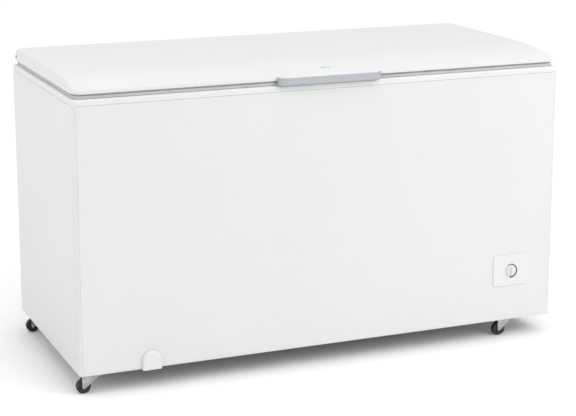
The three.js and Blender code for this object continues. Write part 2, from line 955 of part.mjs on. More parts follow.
function casterPlate() {
  const plate = raised(roundedRectangle(-30, -30, 30, 30, 6), casterTop - 2.5, casterTop, 1);
  const race = rod(18, 5, 16).translate(0, 0, casterTop - 7);
  const kingpin = rod(4, 10, 12).translate(0, 0, casterTop - 12);
  return joined(plate, solid(race), solid(kingpin));
}

// The fork stands over the wheel, which trails to -X of the kingpin.
function casterFork() {
  const crown = casterTop - 7 - gap;
  const inner = wheelWidth / 2 + 1;
  const outer = inner + 2;
  const leg = new THREE.Shape();
  leg.moveTo(-casterTrail - 6, wheelRadius);
  leg.absarc(-casterTrail, wheelRadius, 6, Math.PI, Math.PI * 1.8);
  leg.lineTo(17, crown - 2);
  leg.lineTo(17, crown);
  leg.lineTo(-casterTrail - 6, crown);
  const top = raised(
    roundedRectangle(-casterTrail - 6, -outer, 18, outer, 5),
    crown - 2.5,
    crown,
    1,
  );
  const disc = rod(19, 2.5, 16).translate(0, 0, crown - 2.5);
  const kingpinHole = rod(4.2, 20, 12).translate(0, 0, crown - 10);
  const axleHole = rod(3.1, 60, 12, "y").translate(-casterTrail, -30, wheelRadius);
  return cut(
    joined(alongY(leg, -outer, -inner, 3), alongY(leg, inner, outer, 3), top, solid(disc)),
    solid(kingpinHole),
    solid(axleHole),
  );
}

function casterWheel() {
  const half = wheelWidth / 2;
  const bore = 3.1;
  const profile = [
    [bore, -half],
    [wheelRadius - 2.5, -half],
    [wheelRadius, -half + 3],
    [wheelRadius, half - 3],
    [wheelRadius - 2.5, half],
    [bore, half],
    [bore, -half],
  ];
  return turned(profile, 28, "y");
}

function casterAxle() {
  const end = wheelWidth / 2 + 3 + gap;
  return turned(
    [
      [0, -end - 2],
      [5, -end - 2],
      [5, -end],
      [3, -end],
      [3, end],
      [5, end],
      [5, end + 2],
      [0, end + 2],
    ],
    12,
    "y",
  );
}

function addCasters() {
  for (const [corner, [x, y]] of Object.entries(casters)) {
    const caster = new THREE.Group();
    caster.position.set(x, y, 0);
    freezer.add(caster);
    const hub = [-casterTrail, 0, wheelRadius];
    add(`caster_plate_${corner}`, casterPlate(), zinc, [0, 0, 0], caster);
    add(`caster_fork_${corner}`, casterFork(), zinc, [0, 0, 0], caster);
    add(`caster_wheel_${corner}`, casterWheel(), blackRubber, hub, caster);
    add(`caster_axle_${corner}`, casterAxle(), zinc, hub, caster);
  }
}

addOuterCabinet();
addRimRails();
addWell();
addBay();
addThermostat();
addDrain();
addLid();
addHinges();
addCasters();

export default freezer;
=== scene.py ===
# The chest freezer's finished looks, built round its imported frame. Metres, the frame's own axes:
# +Z up, -Y the front, +X towards the compressor end.
import json
import math
import random

import bmesh
import bpy
from mathutils import Matrix, Vector


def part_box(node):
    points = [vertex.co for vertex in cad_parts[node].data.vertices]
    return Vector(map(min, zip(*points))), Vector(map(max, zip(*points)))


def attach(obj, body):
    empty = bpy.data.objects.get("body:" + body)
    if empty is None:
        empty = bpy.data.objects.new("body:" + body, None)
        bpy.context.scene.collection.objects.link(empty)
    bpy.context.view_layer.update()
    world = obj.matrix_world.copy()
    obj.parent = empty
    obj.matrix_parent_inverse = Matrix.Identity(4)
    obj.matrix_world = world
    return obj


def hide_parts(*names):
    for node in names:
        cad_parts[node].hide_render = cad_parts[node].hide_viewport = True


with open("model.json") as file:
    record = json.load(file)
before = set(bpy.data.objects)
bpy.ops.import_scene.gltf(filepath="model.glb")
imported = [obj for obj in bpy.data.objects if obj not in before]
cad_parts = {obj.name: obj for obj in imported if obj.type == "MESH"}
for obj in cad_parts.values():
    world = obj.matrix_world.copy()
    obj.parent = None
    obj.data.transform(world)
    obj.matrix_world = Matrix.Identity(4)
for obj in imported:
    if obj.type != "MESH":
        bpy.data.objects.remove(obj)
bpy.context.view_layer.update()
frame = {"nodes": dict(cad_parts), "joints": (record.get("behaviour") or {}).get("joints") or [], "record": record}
mm = 0.001
random.seed(7)

# the cabinet's own measures, read from the frame
cabinet = {
    "halfX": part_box("right_side_panel")[1].x,
    "halfY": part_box("rear_panel")[1].y,
    "base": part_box("front_panel")[0].z,
    "rail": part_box("rim_rail_front")[0].z,
    "rim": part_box("rim_rail_front")[1].z,
    "corner": 8 * mm,
    "gap": 0.3 * mm,
}
joints = {joint["name"]: Vector(joint.get("pos_m") or (0, 0, 0)) for joint in frame["joints"]}
openings = {o["name"]: o["box_m"] for o in frame["record"]["physics"]["openings"]}

# which way a part built lying on the XY plane is turned to stand on a face of the cabinet
facing = {
    "front": Matrix(((1, 0, 0, 0), (0, 0, -1, 0), (0, 1, 0, 0), (0, 0, 0, 1))),
    "rear": Matrix(((-1, 0, 0, 0), (0, 0, 1, 0), (0, 1, 0, 0), (0, 0, 0, 1))),
    "right": Matrix(((0, 0, 1, 0), (1, 0, 0, 0), (0, 1, 0, 0), (0, 0, 0, 1))),
    "up": Matrix.Identity(4),
}


def newFinish(name, metallic=0.0, specular=0.5, coat=0.0, coatRough=0.1):
    material = bpy.data.materials.new(name)
    material.use_nodes = True
    shader = material.node_tree.nodes["Principled BSDF"]
    shader.inputs["Metallic"].default_value = metallic
    shader.inputs["Specular IOR Level"].default_value = specular
    shader.inputs["Coat Weight"].default_value = coat
    shader.inputs["Coat Roughness"].default_value = coatRough
    return material


def addNoise(material, scale, detail=3.0, stretch=(1, 1, 1)):
    nodes, links = material.node_tree.nodes, material.node_tree.links
    place = nodes.new("ShaderNodeTexCoord")
    mapping = nodes.new("ShaderNodeMapping")
    mapping.inputs["Scale"].default_value = stretch
    noise = nodes.new("ShaderNodeTexNoise")
    noise.inputs["Scale"].default_value = scale
    noise.inputs["Detail"].default_value = detail
    links.new(place.outputs["Object"], mapping.inputs["Vector"])
    links.new(mapping.outputs["Vector"], noise.inputs["Vector"])
    return noise.outputs["Fac"]


def addCells(material, scale, feature="F1", output="Distance"):
    nodes, links = material.node_tree.nodes, material.node_tree.links
    place = nodes.new("ShaderNodeTexCoord")
    cells = nodes.new("ShaderNodeTexVoronoi")
    cells.feature = feature
    cells.inputs["Scale"].default_value = scale
    links.new(place.outputs["Object"], cells.inputs["Vector"])
    return cells.outputs[output]


def paintTones(material, driver, dark, light, low=0.35, high=0.65):
    # base colour runs between two tones as the driver goes from low to high
    nodes, links = material.node_tree.nodes, material.node_tree.links
    ramp = nodes.new("ShaderNodeValToRGB")
    ramp.color_ramp.elements[0].position = low
    ramp.color_ramp.elements[0].color = (*dark, 1)
    ramp.color_ramp.elements[1].position = high
    ramp.color_ramp.elements[1].color = (*light, 1)
    links.new(driver, ramp.inputs["Fac"])
    links.new(ramp.outputs["Color"], nodes["Principled BSDF"].inputs["Base Color"])


def setRoughness(material, driver, smooth, rough):
    nodes, links = material.node_tree.nodes, material.node_tree.links
    spread = nodes.new("ShaderNodeMapRange")
    spread.inputs["From Min"].default_value = 0.2
    spread.inputs["From Max"].default_value = 0.8
    spread.inputs["To Min"].default_value = smooth
    spread.inputs["To Max"].default_value = rough
    links.new(driver, spread.inputs["Value"])
    links.new(spread.outputs["Result"], nodes["Principled BSDF"].inputs["Roughness"])


def addRelief(material, drivers):
    # each driver is (socket, height in metres, strength), laid one over the other
    nodes, links = material.node_tree.nodes, material.node_tree.links
    normal = None
    for socket, height, strength in drivers:
        bump = nodes.new("ShaderNodeBump")
        bump.inputs["Distance"].default_value = height
        bump.inputs["Strength"].default_value = strength
        links.new(socket, bump.inputs["Height"])
        if normal:
            links.new(normal, bump.inputs["Normal"])
        normal = bump.outputs["Normal"]
    links.new(normal, nodes["Principled BSDF"].inputs["Normal"])


def bakedEnamel():
    # sprayed white powder coat: faint orange peel, even gloss
    material = newFinish("bakedEnamel", specular=0.42, coat=0.1, coatRough=0.15)
    paintTones(material, addNoise(material, 2.3), (0.634, 0.638, 0.642), (0.662, 0.665, 0.668), 0.1, 0.9)
    setRoughness(material, addNoise(material, 6, stretch=(1, 1, 0.5)), 0.3, 0.36)
    addRelief(material, [(addNoise(material, 160, detail=1), 0.03 * mm, 0.18)])
    return material


def mouldedWhite():
    # injection-moulded plastic with a very fine spark-eroded grain
    material = newFinish("mouldedWhite")
    paintTones(material, addNoise(material, 5), (0.66, 0.662, 0.662), (0.68, 0.682, 0.682))
    setRoughness(material, addNoise(material, 30), 0.34, 0.44)
    addRelief(material, [(addNoise(material, 1500, detail=2), 0.03 * mm, 0.4)])
    return material


def formedSheet():
    # vacuum-formed polystyrene: softer, with slow waves left by the drawing
    material = newFinish("formedSheet")
    paintTones(material, addNoise(material, 3.5), (0.76, 0.765, 0.765), (0.79, 0.794, 0.79))
    setRoughness(material, addNoise(material, 12), 0.25, 0.38)
    waves = addNoise(material, 9, detail=1)
    grain = addNoise(material, 900, detail=2)
    addRelief(material, [(waves, 0.6 * mm, 0.25), (grain, 0.03 * mm, 0.3)])
    return material


def silverPaint():
    # satin metallic lacquer with aluminium flake
    material = newFinish("silverPaint", metallic=0.35, coat=0.15, coatRough=0.3)
    flake = addCells(material, 2600, output="Color")
    paintTones(material, flake, (0.36, 0.378, 0.4), (0.44, 0.458, 0.48), 0.2, 0.8)
    setRoughness(material, addNoise(material, 60), 0.38, 0.48)
    addRelief(material, [(addNoise(material, 1800, detail=1), 0.02 * mm, 0.3)])
    return material


def sealVinyl():
    # extruded soft vinyl: matt, with drag lines and a little dust
    material = newFinish("sealVinyl", specular=0.35)
    paintTones(material, addNoise(material, 14), (0.47, 0.475, 0.48), (0.53, 0.535, 0.54))
    setRoughness(material, addNoise(material, 80), 0.55, 0.72)
    addRelief(material, [(addNoise(material, 700, stretch=(0.05, 0.05, 1)), 0.08 * mm, 0.4)])
    return material


def greyMoulding():
    material = newFinish("greyMoulding")
    paintTones(material, addNoise(material, 25), (0.135, 0.14, 0.145), (0.165, 0.17, 0.175))
    setRoughness(material, addNoise(material, 60), 0.45, 0.6)
    addRelief(material, [(addNoise(material, 1300, detail=2), 0.05 * mm, 0.5)])
    return material


def stuccoSheet():
    # embossed aluminium, its pebbles about 4 mm across
    material = newFinish("stuccoSheet", metallic=0.75)
    paintTones(material, addNoise(material, 8), (0.66, 0.675, 0.685), (0.76, 0.77, 0.78))
    setRoughness(material, addNoise(material, 40), 0.3, 0.42)
    pebbles = addCells(material, 260, feature="SMOOTH_F1")
    addRelief(material, [(pebbles, 0.7 * mm, 0.6), (addNoise(material, 90), 0.2 * mm, 0.3)])
    return material


def blownFoam():
    material = newFinish("blownFoam", specular=0.2)
    cells = addCells(material, 480)
    paintTones(material, cells, (0.62, 0.5, 0.24), (0.78, 0.68, 0.42), 0.1, 0.7)
    setRoughness(material, addNoise(material, 90), 0.85, 1.0)
    addRelief(material, [(cells, 1.2 * mm, 0.7), (addNoise(material, 30), 2 * mm, 0.4)])
    return material


def zincPlate():
    # bright zinc over pressed steel, its spangle blurred by passivation
    material = newFinish("zincPlate", metallic=0.85)
    spangle = addCells(material, 160, output="Color")
    paintTones(material, spangle, (0.34, 0.35, 0.36), (0.5, 0.51, 0.52), 0.2, 0.8)
    setRoughness(material, addNoise(material, 45), 0.3, 0.46)
    addRelief(material, [(addNoise(material, 500, stretch=(1, 0.2, 1)), 0.05 * mm, 0.4)])
    return material


def wheelRubber():
    # solid rubber, dusty where it rolls
    material = newFinish("wheelRubber", specular=0.4)
    paintTones(material, addNoise(material, 70, detail=6), (0.012, 0.012, 0.013), (0.035, 0.034, 0.033))
    setRoughness(material, addNoise(material, 110), 0.42, 0.75)
    addRelief(material, [(addNoise(material, 650, detail=4), 0.12 * mm, 0.5)])
    return material


def blackEnamel():
    material = newFinish("blackEnamel", coat=0.3, coatRough=0.2)
    paintTones(material, addNoise(material, 18), (0.012, 0.012, 0.014), (0.022, 0.022, 0.025))
    setRoughness(material, addNoise(material, 35), 0.3, 0.5)
    addRelief(material, [(addNoise(material, 260, detail=2), 0.08 * mm, 0.5)])
    return material


def drawnCopper():
    material = newFinish("drawnCopper", metallic=1.0)
    paintTones(material, addNoise(material, 40, detail=6), (0.36, 0.15, 0.08), (0.66, 0.33, 0.19))
    setRoughness(material, addNoise(material, 90), 0.25, 0.5)
    addRelief(material, [(addNoise(material, 700), 0.03 * mm, 0.4)])
    return material


def springWire():
    material = newFinish("springWire", metallic=0.9)
    paintTones(material, addNoise(material, 300), (0.07, 0.072, 0.078), (0.17, 0.17, 0.18))
    setRoughness(material, addNoise(material, 500), 0.28, 0.45)
    addRelief(material, [(addNoise(material, 2500), 0.02 * mm, 0.4)])
    return material


def printInk():
    # pad-printed dark grey
    material = newFinish("printInk", specular=0.4)
    paintTones(material, addNoise(material, 400), (0.035, 0.037, 0.04), (0.055, 0.057, 0.06))
    setRoughness(material, addNoise(material, 600), 0.4, 0.55)
    return material


def paleInk():
    material = newFinish("paleInk", specular=0.4)
    paintTones(material, addNoise(material, 400), (0.36, 0.37, 0.385), (0.42, 0.43, 0.445))
    setRoughness(material, addNoise(material, 600), 0.4, 0.55)
    return material


finishes = {
    "white_enamel": bakedEnamel(),
    "white_plastic": mouldedWhite(),
    "tray_plastic": formedSheet(),
    "silver_paint": silverPaint(),
    "seal_grey": sealVinyl(),
    "grey_plastic": greyMoulding(),
    "stucco_aluminium": stuccoSheet(),
    "insulation_foam": blownFoam(),
    "zinc_plate": zincPlate(),
    "wheel_rubber": wheelRubber(),
    "black_paint": blackEnamel(),
    "copper": drawnCopper(),
    "spring_steel": springWire(),
}
inks = {"dark": printInk(), "pale": paleInk()}
print("finishes:", len(finishes) + len(inks))


evenPieces = []


def makePiece(name, bm, body, slot, *stoodFor, sharp=32, material=None, recalc=True, even=True):
    if recalc:
        bmesh.ops.recalc_face_normals(bm, faces=bm.faces)
    mesh = bpy.data.meshes.new(name)
    bm.to_mesh(mesh)
    bm.free()
    mesh.polygons.foreach_set("use_smooth", [True] * len(mesh.polygons))
    if sharp:
        mesh.set_sharp_from_angle(angle=math.radians(sharp))
    mesh.materials.append(material or finishes[slot])
    piece = bpy.data.objects.new(name, mesh)
    bpy.context.scene.collection.objects.link(piece)
    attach(piece, body)
    if stoodFor:
        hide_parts(*stoodFor)
    if even:
        evenPieces.append(piece)
    return piece


def softenEdges(piece, width, segments=2, angle=35):
    bevel = piece.modifiers.new("softEdges", "BEVEL")
    bevel.width = width
    bevel.segments = segments
    bevel.limit_method = "ANGLE"
    bevel.angle_limit = math.radians(angle)
    bevel.harden_normals = True


def giveWall(piece, thickness):
    wall = piece.modifiers.new("wall", "SOLIDIFY")
    wall.thickness = thickness
    wall.offset = -1  # inwards
    wall.use_even_offset = True


def vertsOf(geom):
    return [g for g in geom if isinstance(g, bmesh.types.BMVert)]


def millimetres(profile, up=0):
    return [(radius * mm, up + height * mm) for radius, height in profile]


def roundEdges(bm, edges, radius, segments):
    bmesh.ops.bevel(
        bm, geom=edges, offset=radius, offset_type="OFFSET", segments=segments,
        profile=0.5, affect="EDGES", material=-1,
    )


def faceSheetOut(bm, out, key):
    # an open sheet can't tell its outside, so the face that the key picks is made to look along out
    bmesh.ops.recalc_face_normals(bm, faces=bm.faces)
    if min(bm.faces, key=key).normal.dot(Vector(out)) < 0:
        bmesh.ops.reverse_faces(bm, faces=bm.faces)


def largest(face):
    return -face.calc_area()


def lowest(face):
    return face.calc_center_median().z


def foremost(face):
    return face.calc_center_median().y


def evenShading():
    # flat faces stay flat in the light right up to their rounded edges
    for piece in evenPieces:
        even = piece.modifiers.new("evenShading", "WEIGHTED_NORMAL")
        even.mode = "FACE_AREA"
        even.weight = 50
        even.keep_sharp = True


def addRectLoop(bm, halfX, halfY, radius, z, centre=(0, 0), segments=6):
    # a rounded rectangle of edges at height z
    before = set(bm.faces)
    corners = bmesh.ops.create_grid(bm, x_segments=1, y_segments=1, size=1)["verts"]
    for corner in corners:
        corner.co = (centre[0] + corner.co.x * halfX, centre[1] + corner.co.y * halfY, z)
    bmesh.ops.bevel(
        bm, geom=corners, offset=radius, offset_type="OFFSET", segments=segments,
        profile=0.5, affect="VERTICES", material=-1,
    )
    face = next(f for f in bm.faces if f not in before)
    edges = list(face.edges)
    bmesh.ops.delete(bm, geom=[face], context="FACES_ONLY")
    return edges


def addRoundLoop(bm, radius, z, centre=(0, 0), segments=48):
    place = Matrix.Translation((centre[0], centre[1], z))
    ring = bmesh.ops.create_circle(bm, cap_ends=False, segments=segments, radius=radius, matrix=place)
    return list({edge for vert in ring["verts"] for edge in vert.link_edges})


def bridge(bm, loops, closed=False):
    pairs = list(zip(loops, loops[1:]))
    if closed:
        pairs.append((loops[-1], loops[0]))
    for one, other in pairs:
        bmesh.ops.bridge_loops(bm, edges=one + other)


def capLoop(bm, edges):
    bmesh.ops.contextual_create(bm, geom=edges)


def addCopy(bm, part):
    # joins a finished part to the mesh that is being built
    mesh = bpy.data.meshes.new("part")
    part.to_mesh(mesh)
    part.free()
    bm.from_mesh(mesh)
    bpy.data.meshes.remove(mesh)


def fillBetween(bm, edges):
    # a flat face with holes, its outline and holes all given as edges
    bmesh.ops.triangle_fill(bm, use_beauty=True, use_dissolve=False, edges=edges)


def spinProfile(bm, profile, segments=48):
    # profile is (radius, height) from the axis out and back to it, or a closed line clear of it
    verts = [bm.verts.new((radius, 0, height)) for radius, height in profile]
    edges = [bm.edges.new(pair) for pair in zip(verts, verts[1:])]
    bmesh.ops.spin(
        bm, geom=verts + edges, cent=(0, 0, 0), axis=(0, 0, 1), angle=math.tau,
        steps=segments, use_merge=True,
    )
    touched = {v for v in bm.verts if v.is_valid and (v in verts or v.link_faces)}
    bmesh.ops.remove_doubles(bm, verts=list(touched), dist=1e-6)


def quarterRound(radius, steps=4):
    # (in, up) of a rounded edge, from the wall to the top
    angles = [math.pi / 2 * i / steps for i in range(steps + 1)]
    return [(radius * (1 - math.cos(a)), radius * math.sin(a)) for a in angles]


def turnTo(bm, side, place):
    bmesh.ops.transform(bm, matrix=Matrix.Translation(place) @ facing[side], verts=bm.verts)


def addBlock(bm, low, high):
    low, high = Vector(low), Vector(high)
    size = Matrix.Diagonal((*(high - low), 1))
    made = bmesh.ops.create_cube(bm, size=1, matrix=Matrix.Translation((low + high) / 2) @ size)
    return made["verts"]


def refined(node, body, slot, width, segments=2):
    # the frame's own solid, merged, its flat faces whole and its edges softened
    bm = bmesh.new()
    bm.from_mesh(frame["nodes"][node].data)
    bmesh.ops.remove_doubles(bm, verts=bm.verts, dist=1e-5)
    bmesh.ops.dissolve_limit(bm, angle_limit=math.radians(1), verts=bm.verts, edges=bm.edges)
    piece = makePiece(node + "_fine", bm, body, slot, node, sharp=None, recalc=False)
    softenEdges(piece, width, segments)


sideSheet = {
    "sheet": 2 * mm,
    "return": 9 * mm,  # folded on to the front
    "crease": 27 * mm,  # pressed line behind the front corner
    "creaseWidth": 2.4 * mm,
    "creaseDepth": 0.55 * mm,
    "soft": 0.7 * mm,
}


def makeSideSheet(side, name, node):
    look = sideSheet
    x, y = side * cabinet["halfX"], -cabinet["halfY"]
    bm = bmesh.new()
    low = cabinet["base"]
    crease = y + look["crease"]
    points = [
        (x - side * look["return"], y),
        (x, y),
        (x, crease - look["creaseWidth"] / 2),
        (x - side * look["creaseDepth"], crease),
        (x, crease + look["creaseWidth"] / 2),
        (x, cabinet["halfY"]),
    ]
    verts = [bm.verts.new((px, py, low)) for px, py in points]
    edges = [bm.edges.new(pair) for pair in zip(verts, verts[1:])]
    raised = bmesh.ops.extrude_edge_only(bm, edges=edges)["geom"]
    rise = cabinet["rail"] - cabinet["gap"] - low
    bmesh.ops.translate(bm, verts=vertsOf(raised), vec=(0, 0, rise))

    def onCorner(vert):
        return abs(vert.co.x - x) < 1e-6 and abs(vert.co.y - y) < 1e-6

    fold = [e for e in bm.edges if all(onCorner(v) for v in e.verts)]
    roundEdges(bm, fold, cabinet["corner"], 8)
    faceSheetOut(bm, (side, 0, 0), largest)
    piece = makePiece(name, bm, "cabinet", "white_enamel", node, sharp=None, recalc=False)
    giveWall(piece, look["sheet"])
    softenEdges(piece, look["soft"], segments=3, angle=50)


frontSheet = {
    "sheet": 2 * mm,
    "dialHole": 6 * mm,
    "drainHole": 9.5 * mm,
    "drainDrop": 39 * mm,  # the drain's hole below the top of its cover
    "hem": 7 * mm,
    "land": 1 * mm,  # a flat either side of the pressed line keeps its slopes from tinting the sheet
    "press": 1.2 * mm,  # half the pressed line's width
    "pressDepth": 0.9 * mm,
    "turnUnder": [(0.7, 0), (0.2, 0.2), (0, 0.7)],  # (up from the lower edge, in), mm
}


def makeFrontSheet():
    # one flat sheet with a pressed line above its lower edge and holes for the dial's shaft and the drain
    look = frontSheet
    low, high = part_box("front_panel")
    dial = joints["dial_turn"]
    drainLow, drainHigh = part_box("drain_cover")
    drainX = (drainLow.x + drainHigh.x) / 2
    drainZ = drainHigh.z - look["drainDrop"]
    hem, land, press = look["hem"], look["land"], look["press"]
    foot = low.z + hem
    bm = bmesh.new()
    middle = (foot + high.z) / 2
    corners = bmesh.ops.create_grid(bm, x_segments=1, y_segments=1, size=1)["verts"]
    for corner in corners:
        corner.co = (corner.co.x * high.x, middle + corner.co.y * (high.z - middle), 0)
    outline = list(bm.edges)
    bmesh.ops.delete(bm, geom=list(bm.faces), context="FACES_ONLY")
    holes = addRoundLoop(bm, look["dialHole"], 0, (dial.x, dial.z), 32)
    holes += addRoundLoop(bm, look["drainHole"], 0, (drainX, drainZ), 32)
    fillBetween(bm, outline + holes)
    edge = min(outline, key=lambda e: e.verts[0].co.y + e.verts[1].co.y)
    rows = [(land, 0), (land + press, look["pressDepth"]), (land + 2 * press, 0), (2 * land + 2 * press, 0)]
    rows += [(hem - up * mm, inwards * mm) for up, inwards in look["turnUnder"]]
    for drop, depth in rows:
        grown = bmesh.ops.extrude_edge_only(bm, edges=[edge])["geom"]
        for vert in vertsOf(grown):
            vert.co.y = foot - drop
            vert.co.z = -depth
        edge = next(
            g for g in grown if isinstance(g, bmesh.types.BMEdge)
            and all(abs(v.co.y - foot + drop) < 1e-7 for v in g.verts)
        )
    turnTo(bm, "front", (0, low.y, 0))
    faceSheetOut(bm, (0, -1, 0), largest)
    piece = makePiece("front_sheet", bm, "cabinet", "white_enamel", "front_panel", sharp=None, recalc=False)
    giveWall(piece, look["sheet"])


# the frame's own plates: slot and edge round
plates = {
    "rear_panel": ("white_enamel", 0.6 * mm),
    "base_panel": ("zinc_plate", 0.4 * mm),
    "compressor_tray": ("zinc_plate", 0.6 * mm),
}


def makeOuterSheets():
    makeSideSheet(-1, "left_side_sheet", "left_side_panel")
    makeSideSheet(1, "right_side_sheet", "right_side_panel")
    makeFrontSheet()
    for node, (slot, soft) in plates.items():
        refined(node, "cabinet", slot, soft)


rimRail = {
    "width": 62 * mm,  # from the cabinet's side to the mouth of the well
    "bevel": 6 * mm,
    "lower": 0.9 * mm,
    "leastCorner": 1.5 * mm,
    "mouthCorner": 19 * mm,
    "mouthRound": 2.5 * mm,
}


def makeRimRails():
    look = rimRail
    halfX, halfY = cabinet["halfX"], cabinet["halfY"]
    rail, rim = cabinet["rail"], cabinet["rim"]
    mouthX = halfX - look["width"]
    mouthY = halfY - look["width"]
    turn = look["mouthRound"]

    def outer(inset, z):
        radius = max(cabinet["corner"] - inset, look["leastCorner"])
        return (halfX - inset, halfY - inset, radius, z)

    def mouth(outset, z):
        return (mouthX + outset, mouthY + outset, look["mouthCorner"] + outset, z)

    rows = [outer(look["lower"], rail), outer(0, rail + look["lower"])]
    rows += [outer(i, rim - look["bevel"] + up) for i, up in quarterRound(look["bevel"], 5)]
    inner = [mouth(i, rim - turn + up) for i, up in reversed(quarterRound(turn, 3))]
    inner += [mouth(0, rail)]
    for name in ("front", "rear", "left", "right"):
        bm = bmesh.new()
        outside = [addRectLoop(bm, *row) for row in rows]
        inside = [addRectLoop(bm, *row) for row in inner]
        bridge(bm, outside)
        bridge(bm, inside)
        fillBetween(bm, outside[-1] + inside[0])
        fillBetween(bm, outside[0] + inside[-1])
        bmesh.ops.recalc_face_normals(bm, faces=bm.faces)
        across = name in ("front", "rear")
        sign = -1 if name in ("front", "left") else 1
        for end in (-1, 1):
            # the mitre planes run at 45 degrees through the cabinet's corners
            if across:
                corner, along, out = (end * halfX, sign * halfY, 0), (end, 0, 0), (0, sign, 0)
            else:
                corner, along, out = (sign * halfX, end * halfY, 0), (0, end, 0), (sign, 0, 0)
            normal = (Vector(along) - Vector(out)).normalized()
            bmesh.ops.bisect_plane(
                bm, geom=list(bm.verts) + list(bm.edges) + list(bm.faces), dist=1e-7,
                plane_co=Vector(corner) - normal * cabinet["gap"] / 2, plane_no=normal, clear_outer=True,
            )
        if across:
            # the cuts leave a short piece of the opposite rail
            spare = [v for v in bm.verts if v.co.y * sign < 0]
            bmesh.ops.delete(bm, geom=spare, context="VERTS")
        bmesh.ops.holes_fill(bm, edges=[e for e in bm.edges if len(e.link_faces) == 1], sides=0)
        makePiece(f"rim_{name}", bm, "cabinet", "white_plastic", f"rim_rail_{name}", sharp=35)


well = {"upright": 19 * mm, "foot": 14 * mm, "sheet": 1.5 * mm, "clear": 6 * mm, "soft": 0.3 * mm}


def makeWell():
    # one folded and drawn liner, stepped over the compressor bay
    look = well
    low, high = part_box("well_liner")
    deep = openings["storage_well_deep"]
    shallow = openings["storage_well_over_step"]
    x0, x1 = low.x + look["sheet"], high.x - look["sheet"]
    y0, y1 = low.y + look["sheet"], high.y - look["sheet"]
    floor = low.z + look["sheet"]
    stepX = deep[1][0] + look["clear"]
    stepZ = shallow[0][2] - look["clear"]
    outline = [(x0, high.z), (x0, floor), (stepX, floor), (stepX, stepZ), (x1, stepZ), (x1, high.z)]
    bm = bmesh.new()
    face = bm.faces.new([bm.verts.new((x, y0, z)) for x, z in outline])
    grown = bmesh.ops.extrude_face_region(bm, geom=[face])["geom"]
    bmesh.ops.translate(bm, verts=vertsOf(grown), vec=(0, y1 - y0, 0))
    mouth = [f for f in bm.faces if all(abs(v.co.z - high.z) < 1e-6 for v in f.verts)]
    bmesh.ops.delete(bm, geom=mouth, context="FACES_ONLY")

    def isUpright(edge):
        return abs(edge.verts[0].co.z - edge.verts[1].co.z) > 50 * mm

    roundEdges(bm, [e for e in bm.edges if isUpright(e) and len(e.link_faces) == 2], look["upright"], 7)
    folds = [
        e for e in bm.edges
        if not isUpright(e) and len(e.link_faces) == 2
        and e.link_faces[0].normal.angle(e.link_faces[1].normal) > math.radians(60)
    ]
    roundEdges(bm, folds, look["foot"], 5)
    faceSheetOut(bm, (0, 0, 1), lowest)
    piece = makePiece("well_lining", bm, "cabinet", "stucco_aluminium", "well_liner", sharp=None, recalc=False)
    giveWall(piece, look["sheet"])
    softenEdges(piece, look["soft"], segments=1, angle=60)


lid = {
    "corner": 35 * mm,
    "lip": 15 * mm,  # underside above the rim
    "front": 26.5 * mm,  # start of the front slope above the rim
    "slope": 225 * mm,
    "lead": 5 * mm,  # the lip's round before the slope starts
    "frontRound": 3.5 * mm,
    "endRound": 15 * mm,
    "rearRound": 12 * mm,
    "sheet": 2 * mm,
    "soft": 0.5 * mm,
    "slopeLines": [60, 90, 130, 175, 235],  # mm behind the front edge
}
lidLow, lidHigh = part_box("lid_skin")
lidEdges = [0, 0.35, 0.9, 1.7, 2.7, 3.6, 5, 7, 9.5, 12.2, 15.2, 20, 27, 35]  # mm from an edge


def lidSlope(y):
    # height of the lid's top along its middle
    drop = lidHigh.z - cabinet["rim"] - lid["front"]
    u = min(max((y - lidLow.y - lid["lead"]) / lid["slope"], 0), 1)
    return lidHigh.z - drop * (1 - u) ** 2


def lidHeight(y, inside, towardsY, rear):
    # the slope, less the round of the nearest edge
    top = lidSlope(y)
    room = 0.6 * (top - cabinet["rim"] - lid["lip"])
    endRound = min(lid["endRound"], room)
    edgeRound = lid["rearRound"] if rear else lid["frontRound"]
    radius = endRound + (edgeRound - endRound) * towardsY
    reach = max(radius - inside, 0)
    return top - radius + math.sqrt(max(radius * radius - reach * reach, 0))


def stations(low, high, edges, steps):
    inner = edges[-1] * mm
    middle = [low + inner + (high - low - 2 * inner) * i / steps for i in range(1, steps)]
    return [low + e * mm for e in edges] + middle + [high - e * mm for e in reversed(edges)]


def addRoundedGrid(bm, xs, ys, radius):
    # a grid on those lines whose four corners are bent to arcs; yields (vert, inside, towardsY)
    made = bmesh.ops.create_grid(bm, x_segments=len(xs) - 1, y_segments=len(ys) - 1, size=1)["verts"]
    found = []
    for vert in made:
        x = xs[round((vert.co.x + 1) / 2 * (len(xs) - 1))]
        y = ys[round((vert.co.y + 1) / 2 * (len(ys) - 1))]
        sideX = 1 if x > (xs[0] + xs[-1]) / 2 else -1
        sideY = 1 if y > (ys[0] + ys[-1]) / 2 else -1
        edgeX = xs[-1] if sideX > 0 else xs[0]
        edgeY = ys[-1] if sideY > 0 else ys[0]
        a = 1 - abs(edgeX - x) / radius
        b = 1 - abs(edgeY - y) / radius
        if a > 0 and b > 0:
            reach = max(a, b)
            turn = math.pi / 4 * b / a if a >= b else math.pi / 2 - math.pi / 4 * a / b
            x = edgeX - sideX * radius * (1 - reach * math.cos(turn))
            y = edgeY - sideY * radius * (1 - reach * math.sin(turn))
            inside = radius * (1 - reach)
            towardsY = 0.5 - 0.5 * math.cos(2 * turn)
        else:
            inside = min(abs(edgeX - x), abs(edgeY - y))
            towardsY = 1.0 if abs(edgeY - y) < abs(edgeX - x) else 0.0
        vert.co = (x, y, 0)
        found.append((vert, inside, towardsY))
    return found


